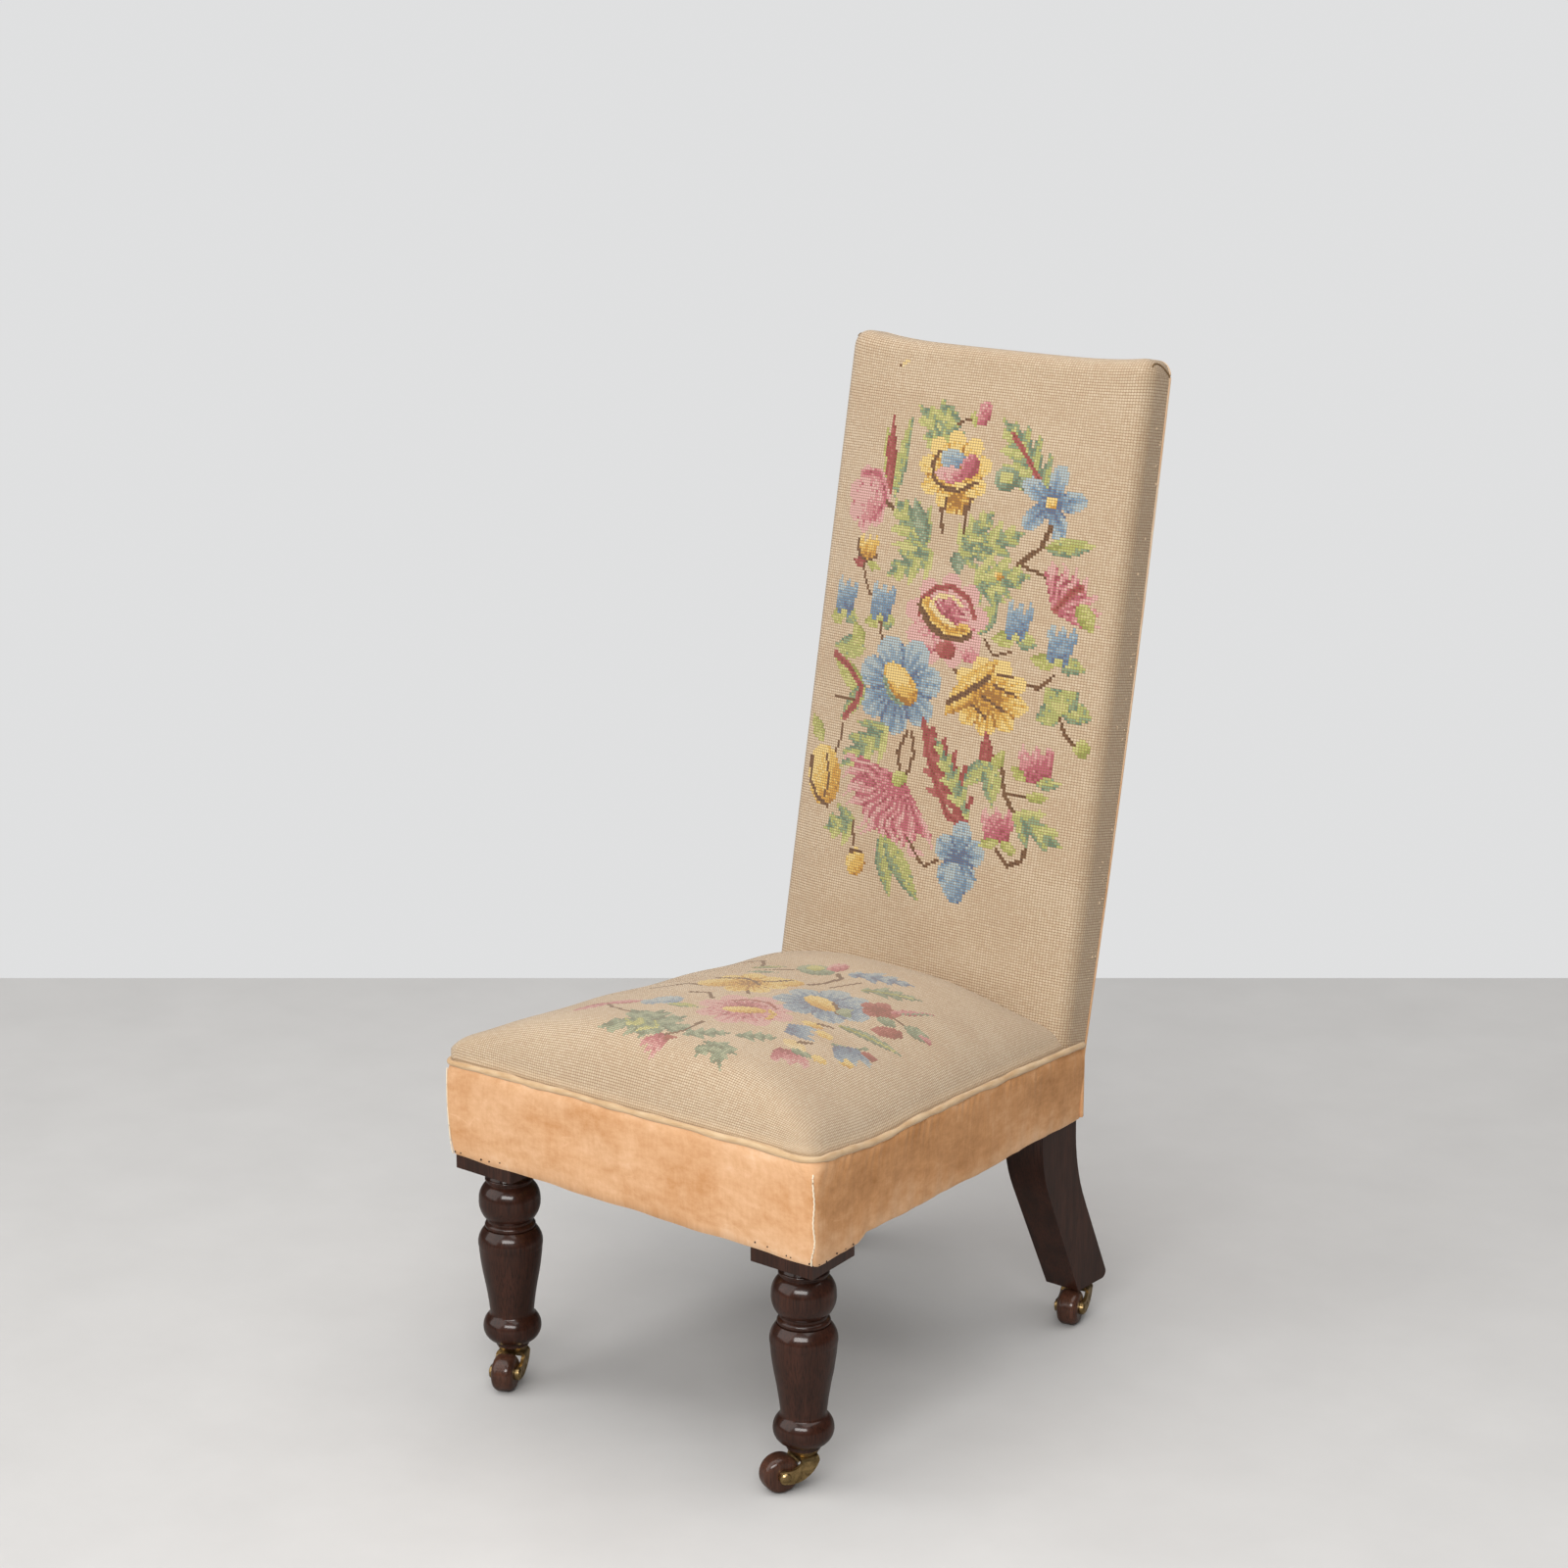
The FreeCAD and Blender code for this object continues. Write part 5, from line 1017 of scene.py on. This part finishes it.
def fold_back(x, rise, proud=0.0):
    """Points of a flat canvas laid over the back's crowned front and folded round its sides and top.

    Inside a rounded outline a point stays where it is, forward by the crown. Outside, its distance from
    the outline is wound round the edge's quarter circle and then runs straight back.
    """
    wrap = BACK_EDGE * math.pi / 2
    inner_half, inner_top = BACK_HALF - BACK_EDGE, BACK_TOP - BACK_EDGE
    inner_corner = BACK_CORNER - BACK_EDGE
    front = BACK_DEPTH - BACK_THINNING * np.clip(rise / BACK_TOP, 0, 1)
    side = np.abs(x) - (inner_half - inner_corner)
    over = rise - (inner_top - inner_corner)
    out_x, out_up = np.clip(side, 0, None), np.clip(over, 0, None)
    norm = np.hypot(out_x, out_up)
    outside = norm + np.minimum(np.maximum(side, over), 0) - inner_corner
    longest = wrap + front - BACK_EDGE + back_bow(rise)
    held = np.clip(outside, 0, longest)
    safe_norm = np.maximum(norm, 1e-6)
    away_x, away_up = np.sign(x) * out_x / safe_norm, out_up / safe_norm
    angle = np.clip(held / BACK_EDGE, 0, math.pi / 2)
    shift = np.where(outside > 0, (BACK_EDGE + proud) * np.sin(angle) - outside, 0.0)
    new_x = x + away_x * shift
    new_rise = rise + away_up * shift
    depth = front - BACK_EDGE * (1 - np.cos(angle)) - np.clip(held - wrap, 0, None)
    crown = BACK_CROWN * (1 - np.clip(np.abs(x) / inner_half, 0, 1) ** 4)
    crown = crown * (1 - np.clip(np.abs(rise - BACK_FULLEST) / (inner_top - BACK_FULLEST), 0, 1) ** 4)
    soft = 0.9 * lumps(x, rise, 150.0)
    depth = depth + (crown + soft * crown / BACK_CROWN) * (outside < 0) + proud * np.cos(angle)
    return on_back(new_x, new_rise + back_ears(new_x, new_rise), depth)


def make_back_needlework():
    """The back: rows and columns of stitches on one folded sheet."""
    first, behind = 12.0, 36.0
    folded = BACK_EDGE * math.pi / 2 - BACK_EDGE + behind
    columns = int((BACK_HALF + folded) / BACK_STITCH_WIDE)
    rows = int((BACK_TOP + folded - first) / BACK_STITCH_HIGH)
    x, rise = np.meshgrid(np.arange(-columns, columns + 1) * BACK_STITCH_WIDE,
                          first + np.arange(rows + 1) * BACK_STITCH_HIGH)
    points = fold_back(x, rise)
    canvas = Canvas(middles(x), middles(rise), dull=0.04)
    sew_back_flowers(canvas)
    # Painted shade: the stitches folded round the back's sides are darkened and browned.
    shaded_from, fade = 168.0, 14.0
    darkening = np.clip((np.abs(middles(x)) - shaded_from) / fade, 0, 1)[..., None]
    canvas.colour = canvas.colour * (1 - darkening * SIDE_SHADE)
    piece = lay_grid("back_needlework", points, "needlework", ["back_cover", "back_stuffing"],
                     fit=count_stitches(points), stitches=canvas.colour)


def make_corner_pleats():
    """The fold sewn down over each top corner of the back: a thin dark tube arched across its side, painted
    shade standing for the crease of the fold.
    """
    share = np.linspace(0, 1, 41)
    first, length = 15.0, 31.0
    start, arch, drop = 660.0, 9.0, 7.0
    for side_name, side in SIDES:
        x = side * (BACK_HALF - BACK_EDGE + first + length * share)
        rise = start + arch * np.sin(math.pi * share ** 0.6) - drop * share ** 2
        path = fold_back(x, rise, proud=0.3)
        tube(f"{side_name}_corner_pleat", path, PLEAT_RADIUS, "needlework", finish="pleat", sides=6)


def dot_balls(name, places, sizes, shade, slot, finish=None):
    """Small balls in one mesh: a grid of latitude and longitude at each place, stretched by its sizes."""
    rings, sides = 6, 8
    rows = len(places) * rings
    turn = np.linspace(0, 2 * math.pi, sides, endpoint=False)
    up = np.linspace(0.02, math.pi - 0.02, rings)[:, None]
    ball = together(np.sin(up) * np.cos(turn), np.sin(up) * np.sin(turn), np.cos(up))
    points = places[:, None, None] + ball[None] * sizes[:, None, None]
    keep = np.ones((rows - 1, sides), bool)
    keep[rings - 1::rings] = False
    lay_grid(name, points.reshape(rows, sides, 3), slot, finish=finish, fit=np.full((rows, sides, 2), 0.5),
             ring=True, keep=keep, stitches=np.broadcast_to(shade, (rows - 1, sides, 3)), flip=True)


def make_wool_pills():
    """Small pills of rubbed wool on the back's sides."""
    count, lowest, highest = 46, 60.0, 630.0
    from_rear, proud = 6.0, 0.2
    for side_name, side in SIDES:
        rise = chance.uniform(lowest, highest, count)
        depth = np.abs(chance.normal(0, from_rear, count)) - 1.0
        places = on_back(np.full(count, side * (BACK_HALF + proud)), rise, depth)
        sizes = chance.uniform(0.6, 1.3, (count, 1)) * chance.uniform(0.7, 1.3, (count, 3))
        dot_balls(f"{side_name}_wool_pills", places, sizes, WOOL["ground"][2], "needlework")


# Velvet: the border round the seat, the outside back and its welts.

def hem_height(x, y):
    """The border's hem: level in front, lower where it is tacked over the leg blocks, falling backwards."""
    front = np.interp(np.abs(x), [0, 125, 146, 190, 215], [236.5, 236.0, 233.5, 231.5, 230.0])
    back = [0, 10, 72, 88, 166, 276, 408, 465]
    side = np.interp(y, back, [230, 227, 226, 231.5, 229, 224.6, 222.4, 220.0])
    wave = 0.25 * np.sin((x + 1.3 * y) / 8.0) + 0.6 * np.sin((x - 0.8 * y) / 19.0 + 1.0)
    front_ends = 2.5
    return np.where(y < front_ends, front, side) + wave


def border_corner(fall, side):
    """The radius of one front corner of the border: fall is 0 at the welt and 1 at the hem."""
    low = {"left": 5.0, "right": 7.0}[side]
    return np.interp(fall, [0.0, 0.2, 0.5, 1.0], [SEAT_CORNER[side], low + 1.5, low, 5.0])


def border_inset(fall):
    """How far in the border stands: tucked under the welt, fullest below it and drawn in at the hem."""
    tucked, full, drawn, hem = 2.6, 2.2, 2.6, 1.2
    return tucked * np.exp(-fall * 22) - full + drawn * fall ** 2 + hem * fall ** 14


def make_border():
    """The velvet border: rows from the welt to the hem, then turned under.

    The corner is round at the welt and nearly sharp at the hem. Small pulls run up from the tacks, and
    small gathers hang below the welt.
    """
    rows, middle_row = 26, 12
    fall = np.concatenate([np.linspace(0, 1, rows), np.ones(4)])[:, None]
    under = np.concatenate([np.zeros(rows), [1.0, 3.0, 6.0, 10.0]])[:, None]
    inset = border_inset(fall) + under
    x, y = seat_path(inset, border_corner(fall, "left"), border_corner(fall, "right"), SEAT_REAR,
                     front=121, side=261)
    run = length_along(x[middle_row], y[middle_row])
    tack_spacing, in_front = 29, 0.4
    pull = 0.5 * np.sin(run * 2 * math.pi / tack_spacing + 2.0 * lumps(run, 0 * run, 160.0)) * fall ** 3
    gathers = 0.45 * lumps(run + 0 * fall, 12 * fall, 10.0) * np.exp(-fall * 5)
    gathers = gathers * np.clip(in_front + y / 60, in_front, 1)
    swell = 0.5 * lumps(run + 0 * fall, 60 * fall, 90.0) * np.sin(math.pi * fall)
    ripple = (pull + gathers + swell) * (under < 0.5)
    sideways = np.stack([np.gradient(y, axis=1), -np.gradient(x, axis=1)])
    sideways /= np.linalg.norm(sideways, axis=0)
    x, y = x + sideways[0] * ripple, y + sideways[1] * ripple
    tucked, turned = 1.2, 1.2
    top = seam_height(x, y) - WELT_RADIUS + tucked
    z = top + (hem_height(x, y) - top) * fall - turned * np.sqrt(np.clip(under, 0, 2) / 2)
    # Painted light in the border's paleness: the front face is paler than the sides, partly wear and partly
    # painted light from the key lamp, and a painted highlight lies along the bulge just below the welt. The
    # paling towards the hem is wear.
    front_share = np.exp(-np.clip(y - 4.0, 0, None) / 14.0)
    at_hem, welt_highlight = fall ** 3, np.exp(-fall * 14)
    wear_and_painted_light = 0.28 + 0.22 * front_share + (0.20 - 0.12 * front_share) * at_hem + 0.16 * welt_highlight
    fit = together(run, fall * BORDER_FALL + under) * MILLIMETRE
    piece = lay_grid("seat_border", together(x, y, z), "velvet",
                     ["seat_border_front", "seat_border_left", "seat_border_right"],
                     fit=fit, wear_and_painted_light=wear_and_painted_light, flip=True)


def make_border_tacks():
    """Tack heads along the hem where it is fixed to the front leg blocks."""
    count, inset, above_hem = 5, 1.2, 1.4
    for side_name, side in SIDES:
        along_front, along_side = np.linspace(153, 207, count), np.linspace(9, 65, count)
        x = np.concatenate([along_front, side_line(along_side, inset)])
        y = np.concatenate([np.full(count, inset), along_side])
        in_front = y == inset
        x = x + chance.normal(0, 2.4, 2 * count) * in_front
        y = y + chance.normal(0, 2.4, 2 * count) * ~in_front
        z = hem_height(side * x, y) + above_hem + chance.normal(0, 0.6, 2 * count)
        places = together(fuller_left(side * x, y), y, z)
        sizes = chance.uniform(0.7, 1.0, (2 * count, 3))
        dot_balls(f"{side_name}_border_tacks", places, sizes, WOOL["bark"][0], "steel", "iron")


def make_seat_welt():
    """The welt along the seam, from one rear end round the front to the other, out over the back's sides.

    It is hand sewn, so its thickness and its line waver a little.
    """
    rear, out, out_from, out_reach = 463.0, 2.6, 398.0, 36.0
    x, y = seat_path(WELT_INSET, SEAT_CORNER["left"], SEAT_CORNER["right"], rear, bend=17)
    x = x + np.sign(x) * out * np.clip((y - out_from) / out_reach, 0, 1)
    run = length_along(x, y)
    sunk, waver, uneven = 0.6, 0.35, 0.10
    z = seam_height(x, y) - sunk + waver * lumps(run, 0 * run, 60.0)
    x, y = push_corner(x, y, way=2.5)
    radius = WELT_RADIUS * (1 + uneven * lumps(run, 0 * run, 38.0))
    tube("seat_welt", together(x, y, z), radius, "welt_cloth", ["seat_piping"])


def make_corner_thread():
    """Pale thread sewn up each front corner from hem to welt, wandering a little at each stitch."""
    share = np.linspace(0, 1, 81)
    start, length, stitches, proud = 0.10, 0.88, 17, 0.3
    fall = start + length * share
    for side_name, side in SIDES:
        corner = border_corner(fall, side_name)
        inset = border_inset(fall) - proud
        wobble = 0.45 * lumps(share * 90, 0 * share, 26.0) + 0.2 * np.sin(share * 2 * math.pi * stitches)
        angle = -math.radians(43) + wobble / corner
        x = corner_middle(inset, corner) + corner * np.cos(angle)
        y = inset + corner + corner * np.sin(angle)
        top = seam_height(x, y) - WELT_RADIUS
        z = top + (hem_height(x, 0 * y + 8.0) - top) * fall
        path = together(fuller_left(side * x, y), y, z)
        tube(f"{side_name}_corner_thread", path, THREAD_RADIUS, "welt_cloth",
             finish="corner_thread", sides=6)


def make_outside_back():
    """The outside back: upright over the rear rail, then raked and bowed with the back."""
    x = np.linspace(-1, 1, 71)[None]
    run = np.linspace(0, 1, 141)[:, None]
    foot, half_width, corner, below_top = 221.5, 173.4, 13.0, 3.4
    upright = BACK_BEND - foot
    top = BACK_TOP - below_top
    climb = run * (upright + top)
    rise = np.clip(climb - upright, 0, None)
    over = np.clip(rise - (top - corner), 0, corner)
    across = x * (half_width - corner + np.sqrt(corner ** 2 - over ** 2))
    swell = 1.6 * (1 - x ** 2) * np.sin(math.pi * run) + 0.5 * lumps(across, climb, 170.0)
    clear = 3.2
    behind = clear + back_bow(rise) + swell
    raked = on_back(across, rise + back_ears(across, rise), -behind)
    plain = together(across, POST_REAR + behind, foot + climb)
    bend = 16.0
    share = np.clip((climb - upright + bend / 2) / bend, 0, 1)[..., None]
    points = plain * (1 - share) + raked * share
    fit = together(across, climb) * MILLIMETRE
    at_foot, at_top = np.exp(-climb / 40.0), np.exp(-(upright + top - climb) / 30.0)
    wear_and_painted_light = 0.42 + 0.12 * at_foot + 0.10 * at_top + 0 * across
    piece = lay_grid("outside_back_velvet", points, "velvet", ["outside_back"], "outside_velvet", fit,
                     wear_and_painted_light=wear_and_painted_light, flip=True)


def make_back_welt():
    """The velvet welt up one rear edge of the seat and back, over the top and down the other.

    It is paler the higher it runs.
    """
    radius, proud, low = 2.3, 0.3, 6.0
    half, top, corner = BACK_HALF - radius + proud, BACK_TOP - radius, BACK_CORNER - radius + proud
    climb = np.linspace(low, top - corner, 90)
    arc = np.linspace(0, math.pi / 2, 14)[1:]
    right_x = np.concatenate([half + 0 * climb, half - corner + corner * np.cos(arc)])
    right_up = np.concatenate([climb, top - corner + corner * np.sin(arc)])
    level = np.linspace(half - corner, -(half - corner), 60)[1:-1]
    x = np.concatenate([right_x, level, -right_x[::-1]])
    rise = np.concatenate([right_up, top + 0 * level, right_up[::-1]])
    path = on_back(x, rise + back_ears(x, rise), -(radius + proud + back_bow(rise)))
    bend, foot, out, behind = 275.0, 223.0, 0.6, 3.0
    left_foot = together(-half - out, POST_REAR + behind, np.linspace(bend, foot, 20))
    right_foot = left_foot[::-1] * np.array([-1.0, 1.0, 1.0])
    path = np.concatenate([right_foot, path, left_foot])
    piece = tube("back_welt", path, radius, "velvet", ["back_piping"], sides=10)
    spots = np.empty(3 * len(piece.data.vertices), np.float32)
    piece.data.vertices.foreach_get("co", spots)
    least, most, start, per_metre = 0.52, 0.85, 0.30, 0.9
    wear_and_painted_light = np.clip(least + per_metre * (spots[2::3] - start), least, most)
    piece.data.attributes.new("wear_and_painted_light", "FLOAT", "POINT").data.foreach_set("value", wear_and_painted_light.astype(np.float32))


def make_bottom_cloth():
    """The bottom cloth: tacked under the rails, sagging to its middle, cut round the legs and posts."""
    first, last, front_height, rear_height = 7.0, 457.0, 237.5, 222.5
    inset, sag_depth = 13.0, 4.0
    leg_inside, leg_rear, post_inside, post_front = 140.0, 73.0, 124.0, 402.0
    x, y = np.meshgrid(np.linspace(-1, 1, 61), np.linspace(first, last, 81))
    share = (y - first) / (last - first)
    sag = sag_depth * (1 - x ** 2) * np.sin(math.pi * share)
    z = front_height + (rear_height - front_height) * share - sag
    across = x * (side_line(y) - inset)
    at_leg = (np.abs(middles(across)) > leg_inside) & (middles(y) < leg_rear)
    at_post = (np.abs(middles(across)) > post_inside) & (middles(y) > post_front)
    piece = lay_grid("bottom_cloth", together(across, y, z), "bottom_cloth", ["dust_cover"],
                     keep=~(at_leg | at_post), flip=True)


def dress_frame():
    """Every piece of the frame takes the finish of its slot in the record."""
    for entry in frame["record"]["subparts"]:
        carried = frame["nodes"][entry["node"]]
        carried.data.materials.clear()
        carried.data.materials.append(FINISHES[entry["material_slot"]])


# Floor, light and camera.

def make_floor():
    """A pale floor that ends at the wall's line, darker in reflections than to the eye."""
    ahead = np.array([-math.sin(CAMERA_YAW), math.cos(CAMERA_YAW)])
    right = np.array([math.cos(CAMERA_YAW), math.sin(CAMERA_YAW)])
    near, far, half = -3.0, 4.243, 9.0
    reach = ((near, -half), (near, half), (far, half), (far, -half))
    corners = [CAMERA_PLACE[:2] + ahead * away + right * aside for away, aside in reach]
    mesh = bpy.data.meshes.new("floor")
    mesh.from_pydata([(*corner, 0.0) for corner in corners], [], [(0, 1, 2, 3)])
    finish, tree, shader = new_finish("painted floor", roughness=0.55, specular_ior_level=0.25)
    place = in_space(tree)
    paint = place.noise(7.0, 6.0, 0.6).blend((0.56, 0.555, 0.55), (0.645, 0.64, 0.635))
    mirrored = add(tree, "LightPath", out="Is Glossy Ray")
    fill(shader, {"Base Color": mirrored.blend(paint, (0.24, 0.23, 0.22))})
    raise_surface(shader, place.noise(60.0, 4.0), 0.06, 0.002)
    mesh.materials.append(finish)
    floor = bpy.data.objects.new("floor", mesh)
    bpy.context.scene.collection.objects.link(floor)


def make_lamps():
    """A soft key, a lamp by the camera and a bright ceiling: each one's place, aim, size and power."""
    for name, place, aim, wide, high, power in (
            ("key", (-2.4, -3.3, 3.1), (0.0, 0.0, 0.40), 5.0, 5.0, 114.0),
            ("camera side", (1.35, -2.55, 1.9), (0.1, 0.0, 0.3), 2.4, 0.8, 62.0),
            ("ceiling", (0.8, 0.2, 4.2), (0.8, 0.2, 0.0), 5.0, 5.0, 130.0)):
        lamp = bpy.data.lights.new(name, "AREA")
        lamp.shape = "RECTANGLE"
        lamp.size = wide
        lamp.size_y = high
        lamp.energy = power
        lamp.color = (1.0, 0.985, 0.965)
        shown = bpy.data.objects.new(name, lamp)
        shown.location = place
        toward = np.subtract(aim, place)
        shown.rotation_euler = (math.atan2(math.hypot(*toward[:2]), -toward[2]), 0.0,
                                math.atan2(-toward[0], toward[1]))
        bpy.context.scene.collection.objects.link(shown)


def make_world():
    """An even world, bright to the eye, weaker as light and weaker still in reflections."""
    world = bpy.data.worlds.new("studio")
    world.use_nodes = True
    tree = world.node_tree
    straight, through, mirrored = [add(tree, "LightPath", out=f"Is {ray} Ray")
                                   for ray in ("Camera", "Transmission", "Glossy")]
    seen = straight.calc("MAXIMUM", through)
    as_light, to_the_eye, less_mirrored = 0.25, 0.75, 0.2
    level = seen.spread(0.0, 1.0, as_light, to_the_eye) - mirrored * less_mirrored
    fill(tree.nodes["Background"], {"Color": (0.99, 0.995, 1.0, 1.0), "Strength": level})
    bpy.context.scene.world = world


def make_camera():
    """The camera where the photograph was taken from, looking down a little."""
    lens = bpy.data.cameras.new("camera")
    lens.sensor_width = 36.0
    lens.lens = 79.4
    camera = bpy.data.objects.new("camera", lens)
    camera.location = CAMERA_PLACE
    camera.rotation_euler = (math.pi / 2 - CAMERA_DROP, 0.0, CAMERA_YAW)
    bpy.context.scene.collection.objects.link(camera)
    bpy.context.scene.camera = camera


make_camera()
make_floor()
make_lamps()
make_world()
dress_frame()
make_seat_needlework()
make_back_needlework()
make_corner_pleats()
make_wool_pills()
make_border()
make_border_tacks()
make_seat_welt()
make_corner_thread()
make_outside_back()
make_back_welt()
make_bottom_cloth()
bpy.context.scene.view_settings.view_transform = "Standard"
